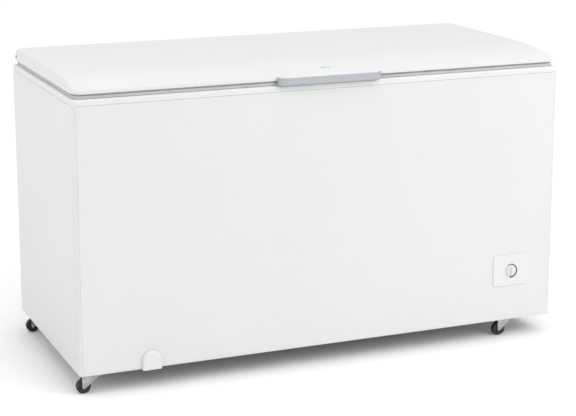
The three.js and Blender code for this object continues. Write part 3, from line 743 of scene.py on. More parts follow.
def lidSurface(bm, inset, below):
    xs = stations(lidLow.x + inset, lidHigh.x - inset, lidEdges, 30)
    front = [lidLow.y + inset + e * mm for e in lidEdges + lid["slopeLines"]]
    rearStart = lidHigh.y - inset - lidEdges[-1] * mm
    ys = front + [front[-1] + (rearStart - front[-1]) * i / 6 for i in range(1, 6)]
    ys += [lidHigh.y - inset - e * mm for e in reversed(lidEdges)]
    for vert, inside, towardsY in addRoundedGrid(bm, xs, ys, lid["corner"] - inset):
        vert.co.z = lidHeight(vert.co.y, inside + inset, towardsY, vert.co.y > 0) - below


def hangSkirt(bm, z):
    rim = [e for e in bm.edges if len(e.link_faces) == 1]
    hung = bmesh.ops.extrude_edge_only(bm, edges=rim)["geom"]
    for vert in vertsOf(hung):
        vert.co.z = z
    return [g for g in hung if isinstance(g, bmesh.types.BMEdge) and len(g.link_faces) == 1]


def makeLidSkin():
    bm = bmesh.new()
    lidSurface(bm, 0, 0)
    hangSkirt(bm, cabinet["rim"] + lid["lip"])
    piece = makePiece("lid_shell", bm, "lid", "white_enamel", "lid_skin", sharp=None)
    giveWall(piece, lid["sheet"])
    softenEdges(piece, lid["soft"], segments=2, angle=60)


endPlug = {
    "y": 318 * mm,
    "z": 922.5 * mm,
    "profile": [(0, -1.5), (4, -1.5), (4, 0.1), (4.6, 0.1), (5, 0.4), (4.8, 0.9), (3.5, 1.3), (0, 1.5)],
}


def makeEndPlugs():
    # grey plugs over the lid's foaming holes, one at each end
    look = endPlug
    bm = bmesh.new()
    for side in (-1, 1):
        part = bmesh.new()
        spinProfile(part, millimetres(look["profile"]), segments=28)
        if side < 0:
            bmesh.ops.rotate(part, verts=part.verts, cent=(0, 0, 0), matrix=Matrix.Rotation(math.pi, 3, "X"))
        turnTo(part, "right", (side * lidHigh.x, look["y"], look["z"]))
        addCopy(bm, part)
    makePiece("lid_end_plugs", bm, "lid", "grey_plastic", sharp=35)


tray = {
    "sheet": 1.5 * mm,
    "draft": 6 * mm,
    "panCorner": 24 * mm,
    "round": 5 * mm,
    "plateCorner": 32 * mm,
    "frameWidth": 46 * mm,
    "frameDepth": 5 * mm,
    "frameCorner": 30 * mm,
    "pan": (728 * mm, 286 * mm),  # half sizes, without the draft
    "foam": (717.5 * mm, 275.5 * mm),  # half sizes of the foam inside the pan
    "foamCorner": 14 * mm,
    "foamClear": 3 * mm,  # above the panel pressed into the pan
    "soft": 0.3 * mm,
}


def makeLidFoam():
    bm = bmesh.new()
    inset = lid["sheet"] + 2 * cabinet["gap"]
    lidSurface(bm, inset, inset)
    trayLow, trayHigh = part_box("lid_tray")
    floor = trayHigh.z + cabinet["gap"]
    skirt = hangSkirt(bm, floor)
    # the foam also fills the pan below the lid's plate
    fill, corner = tray["foam"], tray["foamCorner"]
    pan = addRectLoop(bm, *fill, corner, floor)
    foot = addRectLoop(bm, *fill, corner, trayLow.z + tray["frameDepth"] + tray["foamClear"])
    bridge(bm, [pan, foot])
    fillBetween(bm, skirt + pan)
    capLoop(bm, foot)
    makePiece("lid_foam", bm, "lid", "insulation_foam", "lid_insulation", sharp=35)


def makeLidTray():
    # a drawn liner: plate, the pan that hangs into the well, and a panel pressed into the pan
    look = tray
    low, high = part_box("lid_tray")
    plate = high.z - look["sheet"]
    panX, panY = look["pan"]
    turn = look["round"]
    rows = [
        (panX + turn - i, panY + turn - i, look["panCorner"] + turn - i, plate - turn + up)
        for i, up in reversed([(turn - x, y) for x, y in quarterRound(turn, 4)])
    ]
    lean = look["draft"]
    rows += [
        (panX - lean - i, panY - lean - i, look["panCorner"] - i, low.z + turn - up)
        for i, up in quarterRound(turn, 4)
    ]
    inner, deep = look["frameWidth"], look["frameDepth"]
    # the pressed panel's wall, its run 1.4 times its depth
    pressed = [
        (panX - inner - i * 1.4, panY - inner - i * 1.4, look["frameCorner"], low.z + up)
        for i, up in [(0, 0), (0.15 * deep, 0.1 * deep), (0.85 * deep, 0.9 * deep), (deep, deep)]
    ]
    bm = bmesh.new()
    rim = addRectLoop(bm, high.x, high.y, look["plateCorner"], plate, segments=8)
    walls = [addRectLoop(bm, *row, segments=8) for row in rows]
    frameLoops = [addRectLoop(bm, *row, segments=8) for row in pressed]
    bridge(bm, walls)
    bridge(bm, frameLoops)
    fillBetween(bm, rim + walls[0])
    fillBetween(bm, walls[-1] + frameLoops[0])
    capLoop(bm, frameLoops[-1])
    faceSheetOut(bm, (0, 0, -1), lowest)
    piece = makePiece("lid_liner", bm, "lid", "tray_plastic", "lid_tray", sharp=None, recalc=False)
    giveWall(piece, look["sheet"])
    softenEdges(piece, look["soft"], segments=2, angle=60)


seal = {
    "corner": 22 * mm,
    "leastCorner": 4 * mm,
    # (in from the outer face, up from the rim): foot, bulb, waist and the dart that holds it to the lid
    "section": [
        (0.7, 0.3), (0.1, 0.9), (0, 2.0), (0, 6.2), (0.4, 7.6), (1.5, 8.6), (3.2, 9.1), (5.2, 9.4),
        (6.2, 10.2), (6.4, 11.4), (6.4, 13.6), (7, 14.7),
        (16, 14.7), (18, 13.8), (18.6, 12), (18, 9.6), (19.3, 7.4), (19.8, 4), (19.6, 1.6), (18.4, 0.3),
    ],
}


def makeSeal():
    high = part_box("lid_seal")[1]
    bm = bmesh.new()
    rows = []
    for inwards, up in seal["section"]:
        i = inwards * mm
        corner = max(seal["corner"] - i, seal["leastCorner"])
        rows.append((high.x - i, high.y - i, corner, cabinet["rim"] + up * mm))
    bridge(bm, [addRectLoop(bm, *row, segments=6) for row in rows], closed=True)
    makePiece("lid_gasket", bm, "lid", "seal_grey", "lid_seal", sharp=60)


handle = {
    "margin": 2.8 * mm,
    "corner": 24 * mm,
    "back": 96 * mm,
    "rim": 3.4 * mm,  # the grip's edge, which hangs down behind the trim
    "rimDrop": 3.2 * mm,  # its lower edge above the cabinet's rim
    "web": 3.5 * mm,  # thickness inside that edge
    "least": 0.8 * mm,
    "root": 1.6 * mm,  # into the lid's slope
    "sunk": 0.5 * mm,
    "trim": 2.5 * mm,
    "trimCorner": 27 * mm,
    "trimSoft": 0.7 * mm,
    "rise": 25.5 * mm,
    "crownRun": (60, 24),  # mm back = 60 s + 24 s2
    "crownRise": (9, 1),  # mm up = 9 s - s2
    "edgeRound": 2.2 * mm,
    "sideFade": 3 * mm,
    "pad": 1.8 * mm,  # the grip's step above the lid, running out behind
    "padLength": 52 * mm,
    "edgeLines": [0, 0.5, 1.2, 2.2, 3.3, 3.5, 5, 8, 12, 17, 24],  # mm from an edge
}
trimLow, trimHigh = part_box("handle_trim")


def handleTop(y):
    # the grip's own crown: rises 8 mm in 84 mm
    back = max(y - trimLow.y, 0) / mm
    run, bend = handle["crownRun"]
    rise, fall = handle["crownRise"]
    s = (-run + math.sqrt(run * run + 4 * bend * back)) / (2 * bend)
    return cabinet["rim"] + handle["rise"] + (rise * s - fall * s * s) * mm


def makeHandle():
    look = handle
    x1 = trimHigh.x - look["margin"]
    y0 = trimLow.y + look["margin"]
    y1 = trimLow.y + look["back"]
    face = lidLow.y - 0.4 * mm  # just in front of the lid
    xs = stations(-x1, x1, look["edgeLines"], 20)
    ys = [y0 + e * mm for e in look["edgeLines"] if y0 + e * mm < face - 1 * mm]
    ys += [face - 0.1 * mm, face + 0.1 * mm, face + 2 * mm, face + 5 * mm]
    ys += [face + (y1 - face) * i / 12 for i in range(1, 13)]
    bm = bmesh.new()
    grid = addRoundedGrid(bm, xs, ys, look["corner"])
    heights = {}
    for vert, inside, _ in grid:
        x, y = vert.co.x, vert.co.y
        side = abs(x1 - abs(x))
        rear = y > (y0 + y1) / 2
        reach = max(look["edgeRound"] - (side if rear else inside), 0)
        crown = handleTop(y) - look["edgeRound"] + math.sqrt(look["edgeRound"] ** 2 - reach ** 2)
        if y > face:
            # over the lid: a pad that runs out backwards and fades to the sides
            lift = 1 - (1 - min(side / look["sideFade"], 1)) ** 2
            pad = look["pad"] * (1 - min((y - face) / look["padLength"], 1)) ** 0.7
            under = lidSlope(y) - look["sunk"]
            crown = max(crown, lidSlope(y) + pad if pad > 0 else under)
            crown = max(under, under + (crown - under) * lift)
            base = lidSlope(y) - look["root"]
        elif inside < look["rim"]:
            base = cabinet["rim"] + look["rimDrop"]
        else:
            base = crown - look["web"]
        vert.co.z = crown
        heights[(round(x, 7), round(y, 7))] = min(base, crown - look["least"])
    grown = bmesh.ops.extrude_face_region(bm, geom=list(bm.faces))["geom"]
    for vert in vertsOf(grown):
        vert.co.z = heights[(round(vert.co.x, 7), round(vert.co.y, 7))]
    makePiece("handle_grip", bm, "lid", "white_plastic", "lid_handle", sharp=40, even=False)


def makeHandleTrim():
    look = handle
    low = trimLow.z
    bm = bmesh.new()
    rear = trimHigh.y
    points = [(trimLow.x, rear), (trimLow.x, trimLow.y), (trimHigh.x, trimLow.y), (trimHigh.x, rear)]
    verts = [bm.verts.new((x, y, low)) for x, y in points]
    edges = [bm.edges.new(pair) for pair in zip(verts, verts[1:])]
    grown = bmesh.ops.extrude_edge_only(bm, edges=edges)["geom"]
    bmesh.ops.translate(bm, verts=vertsOf(grown), vec=(0, 0, trimHigh.z - low))
    upright = [e for e in bm.edges if len(e.link_faces) == 2]
    # the ends are short, so the round stops just before the lid's face
    roundEdges(bm, upright, min(look["trimCorner"], (rear - trimLow.y) * 0.96), 12)
    faceSheetOut(bm, (0, -1, 0), foremost)
    piece = makePiece("handle_face", bm, "lid", "silver_paint", "handle_trim", sharp=None, recalc=False)
    giveWall(piece, look["trim"])
    softenEdges(piece, look["trimSoft"], segments=3, angle=50)


emblem = {
    "arm": 20 * mm,
    "width": 1.6 * mm,
    "branch": 7 * mm,
    "branchesAt": (0.48, 0.76),  # along the arm
    "lean": 1.05,
    "x": 9 * mm,
    "y": -310 * mm,
    "proud": 0.25 * mm,
    "sunk": 0.2 * mm,
}


def makeEmblem():
    # a plain six-armed snowflake on the lid's slope above the handle
    look = emblem
    bm = bmesh.new()
    for spoke in range(6):
        turn = Matrix.Rotation(math.tau * spoke / 6 + math.pi / 6, 4, "Z")
        strokes = [((0, 0), (look["arm"], 0))]
        for at in look["branchesAt"]:
            root = look["arm"] * at
            size = look["branch"] * (1.25 - at) / 0.77  # the outer pair is shorter
            for side in (-1, 1):
                tip = (root + size * math.cos(look["lean"]), side * size * math.sin(look["lean"]))
                strokes.append(((root, 0), tip))
        for start, end in strokes:
            a, b = turn @ Vector((*start, 0)), turn @ Vector((*end, 0))
            middle, along = (a + b) / 2, b - a
            place = Matrix.Translation(middle) @ along.to_track_quat("X", "Z").to_matrix().to_4x4()
            thick = look["proud"] + look["sunk"]
            size = Matrix.Diagonal((along.length + look["width"] * 0.5, look["width"], thick, 1))
            bmesh.ops.create_cube(bm, size=1, matrix=place @ size)
    for vert in bm.verts:
        height = lidSlope(vert.co.y + look["y"])
        rise = look["proud"] if vert.co.z > 0 else -look["sunk"]
        vert.co = (vert.co.x + look["x"], vert.co.y + look["y"], height + rise)
    makePiece("lid_snowflake", bm, "lid", "grey_plastic", sharp=30, material=inks["pale"])


panel = {
    "corner": 9 * mm,
    "round": 1.3 * mm,
    "dish": 24 * mm,
    "dishDepth": 0.8 * mm,
    # (out from the dish's edge, up from its floor) of the dish's wall, between its floor and the face
    "dishWall": [(0.25 * mm, 0.55 * mm), (0, 0.2 * mm), (-0.4 * mm, 0)],
    "lead": 0.9 * mm,
    "hole": 4.6 * mm,
}


def makeControlPanel():
    look = panel
    low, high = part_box("control_bezel")
    dial = joints["dial_turn"]
    centre = (low + high) / 2
    halfX, halfY = (high.x - low.x) / 2, (high.z - low.z) / 2
    proud = dial.y - low.y
    back = cabinet["gap"]
    offset = (dial.x - centre.x, dial.z - centre.z)
    bm = bmesh.new()
    rows = [addRectLoop(bm, halfX, halfY, look["corner"], back)]
    for inset, up in quarterRound(look["round"], 4):
        z = proud - look["round"] + up
        rows.append(addRectLoop(bm, halfX - inset, halfY - inset, look["corner"] - inset, z))
    sunk = proud - look["dishDepth"]
    rounds = [(look["dish"] + look["lead"], proud)]
    rounds += [(look["dish"] + out, sunk + up) for out, up in look["dishWall"]]
    rounds += [(look["hole"], sunk), (look["hole"], back)]
    dishRows = [addRoundLoop(bm, radius, z, offset, 56) for radius, z in rounds]
    bridge(bm, rows)
    bridge(bm, dishRows)
    fillBetween(bm, rows[-1] + dishRows[0])
    fillBetween(bm, rows[0] + dishRows[-1])
    turnTo(bm, "front", (centre.x, dial.y, centre.z))
    makePiece("control_panel", bm, "cabinet", "white_plastic", "control_bezel", sharp=30)


scale = {
    "proud": 0.12 * mm,
    "thick": 0.3 * mm,
    "step": 5,  # degrees
    # from, to in degrees clockwise from the top, outer radius, width at the start and at the end
    "arcs": [
        (-34, 186, 23.6, 2.6, 5.4, "dark"),
        (222, 246, 22.6, 2.2, 1.8, "pale"),
        (246, 318, 22.4, 1.0, 1.2, "pale"),
        (-16, 18, 31.0, 1.1, 1.1, "pale"),
    ],
    "dots": [(217, 30.5, 1.7, "pale")],
}


def makeScale():
    # printed cold scale round the knob
    dial = joints["dial_turn"]
    proud = dial.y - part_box("control_bezel")[0].y
    for tone in ("dark", "pale"):
        bm = bmesh.new()
        for start, end, radius, first, last, ink in scale["arcs"]:
            if ink != tone:
                continue
            lift = proud if radius > panel["dish"] / mm else proud - panel["dishDepth"]
            steps = max(int((end - start) / scale["step"]), 4)
            old = set(bm.verts)
            inner = bm.verts.new((0, (radius - 1) * mm, lift + scale["proud"]))
            outer = bm.verts.new((0, radius * mm, lift + scale["proud"]))
            edge = bm.edges.new((inner, outer))
            bmesh.ops.spin(
                bm, geom=[inner, outer, edge], cent=(0, 0, 0), axis=(0, 0, 1),
                angle=-math.radians(end - start), steps=steps, use_merge=False,
            )
            arc = list(set(bm.verts) - old)
            for vert in arc:
                if vert.co.xy.length < (radius - 0.5) * mm:
                    clock = math.degrees(math.atan2(vert.co.x, vert.co.y)) % 360
                    width = first + (last - first) * clock / (end - start)
                    vert.co.xy *= (radius - width) * mm / vert.co.xy.length
            turned = Matrix.Rotation(-math.radians(start), 4, "Z")
            bmesh.ops.transform(bm, matrix=turned, verts=arc)
        for clock, radius, size, ink in scale["dots"]:
            if ink != tone:
                continue
            angle = math.radians(clock)
            place = Matrix.Translation(
                (radius * mm * math.sin(angle), radius * mm * math.cos(angle), proud + scale["proud"])
            )
            bmesh.ops.create_circle(bm, cap_ends=True, segments=20, radius=size * mm, matrix=place)
        grown = bmesh.ops.extrude_face_region(bm, geom=list(bm.faces))["geom"]
        bmesh.ops.translate(bm, verts=vertsOf(grown), vec=(0, 0, -scale["thick"]))
        turnTo(bm, "front", (dial.x, dial.y, dial.z))
        makePiece(f"dial_scale_{tone}", bm, "cabinet", "grey_plastic", sharp=30, material=inks[tone])


knob = {
    "radius": 16 * mm,
    "bore": 3.5 * mm,
    "skirt": 7 * mm,
    "skirtRound": 1.5 * mm,
    "gripWidth": 4.6 * mm,  # half sizes of the bar across it
    "gripLength": 14.6 * mm,
    "gripRows": [(6.4, 0), (10, 0.35), (13.2, 0.7), (14.4, 1.2), (14.9, 2.2)],  # (up, in), mm
    "pointer": ((-0.5 * mm, 4 * mm, 14.4 * mm), (0.5 * mm, 11.5 * mm, 15 * mm)),
    "pointerSoft": 0.2 * mm,
}


def makeKnob():
    look = knob
    dial = joints["dial_turn"]
    radius, skirt = look["radius"], look["skirt"]
    back = dial.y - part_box("dial_knob")[1].y
    bm = bmesh.new()
    profile = [(look["bore"], back), (radius - 0.5 * mm, back), (radius, back + 0.5 * mm)]
    turn = look["skirtRound"]
    profile += [(radius - i, skirt - turn + up) for i, up in quarterRound(turn, 4)]
    profile += [(11 * mm, skirt + 0.25 * mm), (0, skirt + 0.6 * mm)]
    spinProfile(bm, profile, segments=64)
    rows = []
    for up, inwards in look["gripRows"]:
        width = look["gripWidth"] - inwards * mm
        rows.append(addRectLoop(bm, width, look["gripLength"] - inwards * mm, width * 0.92, up * mm))
    bridge(bm, rows)
    capLoop(bm, rows[0])
    capLoop(bm, rows[-1])
    turnTo(bm, "front", dial)
    makePiece("dial_grip", bm, "dial", "white_plastic", "dial_knob", sharp=38)
    bm = bmesh.new()
    addBlock(bm, *look["pointer"])
    roundEdges(bm, list(bm.edges), look["pointerSoft"], 2)
    turnTo(bm, "front", dial)
    makePiece("dial_pointer", bm, "dial", "grey_plastic", sharp=30, material=inks["pale"])


drain = {
    "round": 7.5 * mm,
    "wall": 2 * mm,
    "arch": 31 * mm,
    "soft": 0.5 * mm,
    "plugSeat": 7 * mm,  # the plug's flange above its lower end
    "plug": [
        (0, -7), (5, -7), (5.8, -6), (6.2, -0.5), (6.2, 0.3), (13.4, 0.3), (14, 0.9), (14, 2.2),
        (13.2, 3), (5.5, 3.4), (4.2, 4.6), (4, 11.5), (5.2, 12.6), (6.6, 13.6), (7, 14.6), (7, 16.2),
        (6.2, 17), (0, 17),
    ],
}


def makeDrainCover():
    low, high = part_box("drain_cover")
    half = (high.x - low.x) / 2
    spring = high.z - drain["arch"]
    bm = bmesh.new()
    start = bm.verts.new((half, 0, 0))
    bmesh.ops.spin(
        bm, geom=[start], cent=(0, 0, 0), axis=(0, 0, 1), angle=math.pi, steps=24, use_merge=False
    )
    for vert in bm.verts:
        vert.co.y *= drain["arch"] / half
    ends = [v for v in bm.verts if abs(v.co.y) < 1e-7]
    grown = bmesh.ops.extrude_vert_indiv(bm, verts=ends)["verts"]
    bmesh.ops.translate(bm, verts=grown, vec=(0, low.z - spring, 0))
    foot = bm.edges.new(grown)
    bmesh.ops.contextual_create(bm, geom=list(bm.edges))
    proud = high.y - low.y
    walls = [e for e in bm.edges if e != foot]
    hung = bmesh.ops.extrude_edge_only(bm, edges=walls)["geom"]
    bmesh.ops.translate(bm, verts=vertsOf(hung), vec=(0, 0, -proud))
    front = [e for e in bm.edges if len(e.link_faces) == 2 and all(abs(v.co.z) < 1e-7 for v in e.verts)]
    roundEdges(bm, front, drain["round"], 7)
    bmesh.ops.translate(bm, verts=bm.verts, vec=(0, 0, proud + cabinet["gap"]))
    turnTo(bm, "front", ((low.x + high.x) / 2, -cabinet["halfY"], spring))
    faceSheetOut(bm, (0, -1, 0), foremost)
    piece = makePiece("drain_shroud", bm, "cabinet", "white_plastic", "drain_cover", sharp=None, recalc=False)
    giveWall(piece, drain["wall"])
    softenEdges(piece, drain["soft"], segments=2, angle=60)


def makeDrainPlug():
    low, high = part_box("drain_plug")
    middle = (low + high) / 2
    bm = bmesh.new()
    spinProfile(bm, millimetres(drain["plug"]), segments=40)
    turnTo(bm, "up", (middle.x, middle.y, low.z + drain["plugSeat"]))
    makePiece("drain_stopper", bm, "plug", "grey_plastic", "drain_plug", sharp=40)


caster = {
    "plate": 30 * mm,  # half its side
    "plateThick": 2.5 * mm,
    "plateCorner": 6 * mm,
    "bolt": 22.5 * mm,  # from the kingpin, both ways
    # the swivel's pressed ball race and the kingpin's riveted head, from under the plate
    "race": [(0, 0.5), (17.2, 0.5), (18, -0.4), (18, -3.6), (17, -4.4), (14, -4.5), (0, -4.5)],
    "pin": [(0, -4.4), (4, -4.4), (4, -8.6), (3.2, -9.4), (0, -9.5)],
    "crown": 54.4 * mm,  # top of the fork
    "crownDisc": [(0, -2.6), (18.4, -2.6), (19, -2.1), (19, -0.5), (18.5, 0), (0, 0)],
    "crownRows": [(0.4, -2.5), (0, -2.1), (0, -0.5), (0.5, 0)],  # (in, up from the top), mm
    "legFront": 17 * mm,  # ahead of the kingpin
    "legEnd": 6 * mm,  # round the hub
    "legGap": 10 * mm,  # from the middle of the wheel
    "legSheet": 2 * mm,
    "rib": 3 * mm,
    "pressed": 0.8 * mm,
    "radius": 22 * mm,
    "width": 18 * mm,
    # half the wheel's section: hub, dished side wall, and a tread with a slight crown
    "wheel": [
        (3.1, 7.6), (8.2, 7.6), (8.8, 8.4), (9.4, 9.0), (10.6, 9.0), (11.4, 7.8), (16.2, 7.6),
        (17.4, 8.6), (19, 9.0), (20.4, 8.7), (21.4, 7.6), (21.9, 5.5),
    ],
    "axleEnd": 3.3,  # mm past the wheel's side
}


def addBolt(bm, place, size, height):
    # a hexagon head hanging from its place, a little narrower at its lower end
    bmesh.ops.create_cone(
        bm, cap_ends=True, segments=6, radius1=size * 0.86, radius2=size, depth=height,
        matrix=Matrix.Translation(Vector(place) - Vector((0, 0, height / 2))),
    )


def makeCasterPlate(corner, place):
    look = caster
    thick, chamfer = look["plateThick"], 0.6 * mm
    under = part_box(f"caster_plate_{corner}")[1].z - thick
    bm = bmesh.new()
    loops = []
    for i, up in ((chamfer, 0), (0, chamfer), (0, thick - chamfer), (chamfer, thick)):
        half = look["plate"] - i
        loops.append(addRectLoop(bm, half, half, look["plateCorner"] - i, under + up))
    bridge(bm, loops)
    capLoop(bm, loops[0])
    capLoop(bm, loops[-1])
    spinProfile(bm, millimetres(look["race"], under), segments=40)
    spinProfile(bm, millimetres(look["pin"], under), segments=24)
    for x in (-look["bolt"], look["bolt"]):
        for y in (-look["bolt"], look["bolt"]):
            addBolt(bm, (x, y, under + 0.2 * mm), 4.2 * mm, 3 * mm)
    turnTo(bm, "up", (place.x, place.y, 0))
    makePiece(f"swivel_plate_{corner}", bm, "cabinet", "zinc_plate", f"caster_plate_{corner}", sharp=35)


def makeCasterFork(corner, place, hub):
    look = caster
    crown, front, end = look["crown"], look["legFront"], look["legEnd"]
    trail = hub.x - place.x
    back = trail - end
    bm = bmesh.new()
    for side in (-1, 1):
        # one pressed leg: upright behind the hub, slanting up to the front of the crown
        inner = side * look["legGap"]
        outline = [(back, hub.z), (back, crown), (front, crown), (front, crown - 3 * mm)]
        steps = 8
        for i in range(steps):
            a = math.radians(-36 - 144 * i / steps)
            outline.append((trail + end * math.cos(a), hub.z + end * math.sin(a)))
        face = bm.faces.new([bm.verts.new((x, inner, z)) for x, z in outline])
        grown = bmesh.ops.extrude_face_region(bm, geom=[face])["geom"]
        bmesh.ops.translate(bm, verts=vertsOf(grown), vec=(0, side * look["legSheet"], 0))
        outerFace = [g for g in grown if isinstance(g, bmesh.types.BMFace)]
        bmesh.ops.recalc_face_normals(bm, faces=bm.faces)
        # a panel pressed into the leg leaves a rib along its edges
        bmesh.ops.inset_region(bm, faces=outerFace, thickness=look["rib"], depth=0)
        bmesh.ops.inset_region(bm, faces=outerFace, thickness=look["pressed"], depth=0)
        sunk = list({v for f in outerFace for v in f.verts})
        bmesh.ops.translate(bm, verts=sunk, vec=(0, -side * look["pressed"], 0))
    halfX, halfY = (front - back) / 2, look["legGap"] + look["legSheet"]
    middle = ((front + back) / 2, 0)
    rows = []
    for inwards, up in look["crownRows"]:
        i = inwards * mm
        rows.append(addRectLoop(bm, halfX - i, halfY - i, 5 * mm - i, crown + up * mm, middle))
    bridge(bm, rows)
    capLoop(bm, rows[0])
    capLoop(bm, rows[-1])
    spinProfile(bm, millimetres(look["crownDisc"], crown), segments=36)
    turnTo(bm, "up", (place.x, place.y, 0))
    makePiece(f"fork_{corner}", bm, f"fork_{corner}", "zinc_plate", f"caster_fork_{corner}", sharp=35)


def makeCasterWheel(corner, hub):
    half = caster["wheel"]
    profile = half + [(caster["radius"] / mm, 0)] + [(r, -z) for r, z in reversed(half)] + [half[0]]
    bm = bmesh.new()
    spinProfile(bm, millimetres(profile), segments=64)
    turnTo(bm, "front", hub)
    makePiece(f"wheel_{corner}", bm, f"wheel_{corner}", "wheel_rubber", f"caster_wheel_{corner}", sharp=32)


def makeCasterAxle(corner, hub):
    # a riveted axle: its head, the shaft, and a nut at the other side
    end = caster["width"] / mm / 2 + caster["axleEnd"]
    bm = bmesh.new()
    shaft = [
        (0, -end - 1.9), (2.6, -end - 1.9), (3.8, -end - 1.4), (4.6, -end - 0.4), (4.6, -end), (3, -end),
        (3, end), (4.9, end), (4.9, end + 0.5), (3.4, end + 0.7), (3.4, end + 1.9), (2.4, end + 2),
        (0, end + 2),
    ]
    spinProfile(bm, millimetres(shaft), segments=32)
    turnTo(bm, "rear", hub)
    makePiece(f"axle_{corner}", bm, f"fork_{corner}", "zinc_plate", f"caster_axle_{corner}", sharp=35)


def makeCasters():
    for corner in ("front_left", "front_right", "rear_left", "rear_right"):
        place = joints[f"caster_swivel_{corner}"]
        hub = joints[f"caster_roll_{corner}"]
        makeCasterPlate(corner, place)
        makeCasterFork(corner, place, hub)
        makeCasterWheel(corner, hub)
        makeCasterAxle(corner, hub)


hinge = {
    "pin": [
        (0, -26.5), (4.6, -26.5), (5.7, -25.9), (6, -25), (6, -23.3), (4, -23.3),
        (4, 23.3), (6, 23.3), (6, 25), (5.7, 25.9), (4.6, 26.5), (0, 26.5),
    ],
    "wire": 0.75 * mm,
    "coil": 6.4 * mm,
    "turns": 6,
}


def makeHinges():
    axis = joints["lid_hinge"]
    for side in ("left", "right"):
        refined(f"hinge_base_{side}", "cabinet", "zinc_plate", 0.5 * mm)
        refined(f"hinge_arm_{side}", "lid", "zinc_plate", 0.4 * mm)
        low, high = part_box(f"hinge_pin_{side}")
        bm = bmesh.new()
        spinProfile(bm, millimetres(hinge["pin"]), segments=32)
        turnTo(bm, "right", ((low.x + high.x) / 2, axis.y, axis.z))
        makePiece(f"pin_{side}", bm, "cabinet", "zinc_plate", f"hinge_pin_{side}", sharp=35)

        coilLow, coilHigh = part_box(f"hinge_spring_{side}")
        length = coilHigh.x - coilLow.x - 2 * hinge["wire"]
        steps = hinge["turns"] * 20
        bm = bmesh.new()
        section = bmesh.ops.create_circle(
            bm, cap_ends=False, segments=10, radius=hinge["wire"],
            matrix=Matrix.Translation((0, hinge["coil"], 0)),
        )["verts"]
        ring = list({e for v in section for e in v.link_edges})
        bmesh.ops.spin(
            bm, geom=section + ring, cent=(0, 0, 0), axis=(1, 0, 0), dvec=(length / steps, 0, 0),
            angle=math.tau * hinge["turns"], steps=steps, use_merge=False,
        )
        bmesh.ops.holes_fill(bm, edges=[e for e in bm.edges if len(e.link_faces) == 1], sides=0)
        bmesh.ops.translate(bm, verts=bm.verts, vec=(coilLow.x + hinge["wire"], axis.y, axis.z))
        makePiece(f"coil_{side}", bm, "cabinet", "spring_steel", f"hinge_spring_{side}", sharp=60)


grille = {
    "rows": 9,
    "length": 105 * mm,
    "height": 9 * mm,
    "margin": 30 * mm,
    "thick": 1.4 * mm,
    "lean": 38,  # degrees
    "soft": 0.35 * mm,
}


def makeGrille():
    look = grille
    refined("rear_grille", "cabinet", "grey_plastic", 0.5 * mm)
    low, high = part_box("rear_grille")
    bm = bmesh.new()
    middle = (low.x + high.x) / 2
    span = high.z - low.z - 2 * look["margin"] - look["height"]
    lean = Matrix.Rotation(math.radians(look["lean"]), 4, "X")
    size = Matrix.Diagonal((look["length"] - 2 * mm, look["thick"], look["height"] + 3 * mm, 1))
    for row in range(look["rows"]):
        z = low.z + look["margin"] + row * span / (look["rows"] - 1) + look["height"] / 2
        for side in (-1, 1):
            x = middle + side * (look["length"] / 2 + 5 * mm)
            place = Matrix.Translation((x, high.y + 0.2 * mm, z + 1.5 * mm))
            bmesh.ops.create_cube(bm, size=1, matrix=place @ lean @ size)
    roundEdges(bm, list(bm.edges), look["soft"], 2)
    makePiece("rear_louvres", bm, "cabinet", "grey_plastic", sharp=30)


def addScrew(bm, place, side, radius=3.6 * mm):
    # pan head with a cross recess
    head = [(0, 2.0), (1.6, 1.95), (2.8, 1.5), (3.5, 0.6), (3.6, 0), (0, 0)]
    share = radius / 3.6
    part = bmesh.new()
    spinProfile(part, [(r * share, z * mm) for r, z in head], segments=20)
    turn = Matrix.Rotation(random.uniform(0, math.pi), 4, "Z")
    for quarter in (0, 1):
        lie = Matrix.Rotation(quarter * math.pi / 2, 4, "Z")
        size = Matrix.Diagonal((3.4 * mm, 0.7 * mm, 0.3 * mm, 1))
        bmesh.ops.create_cube(part, size=1, matrix=lie @ Matrix.Translation((0, 0, 1.95 * mm)) @ size)
    bmesh.ops.transform(part, matrix=Matrix.Translation(place) @ facing[side] @ turn, verts=part.verts)
    addCopy(bm, part)


def makeFasteners():
    back = cabinet["halfY"] + 0.1 * mm
    bm = bmesh.new()
    count = 7
    for i in range(count):
        x = (i / (count - 1) - 0.5) * 2 * (cabinet["halfX"] - 30 * mm)
        addScrew(bm, (x, back, cabinet["base"] + 9 * mm), "rear")
    for side in (-1, 1):
        for i in range(1, 4):
            z = cabinet["base"] + (cabinet["rail"] - cabinet["base"]) * i / 4
            addScrew(bm, (side * (cabinet["halfX"] - 12 * mm), back, z), "rear")
    low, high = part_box("rear_grille")
    for x in (low.x + 9 * mm, high.x - 9 * mm):
        for z in (low.z + 9 * mm, high.z - 9 * mm):
            addScrew(bm, (x, high.y, z), "rear")
    for side in ("left", "right"):
        low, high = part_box(f"hinge_base_{side}")
        plate = cabinet["halfY"] + 3 * mm
        for x in (low.x + 11 * mm, high.x - 11 * mm):
            for z in (low.z + 10 * mm, low.z + 44 * mm):
                addScrew(bm, (x, plate, z), "rear", 4.6 * mm)
    makePiece("rear_screws", bm, "cabinet", "zinc_plate", sharp=30)


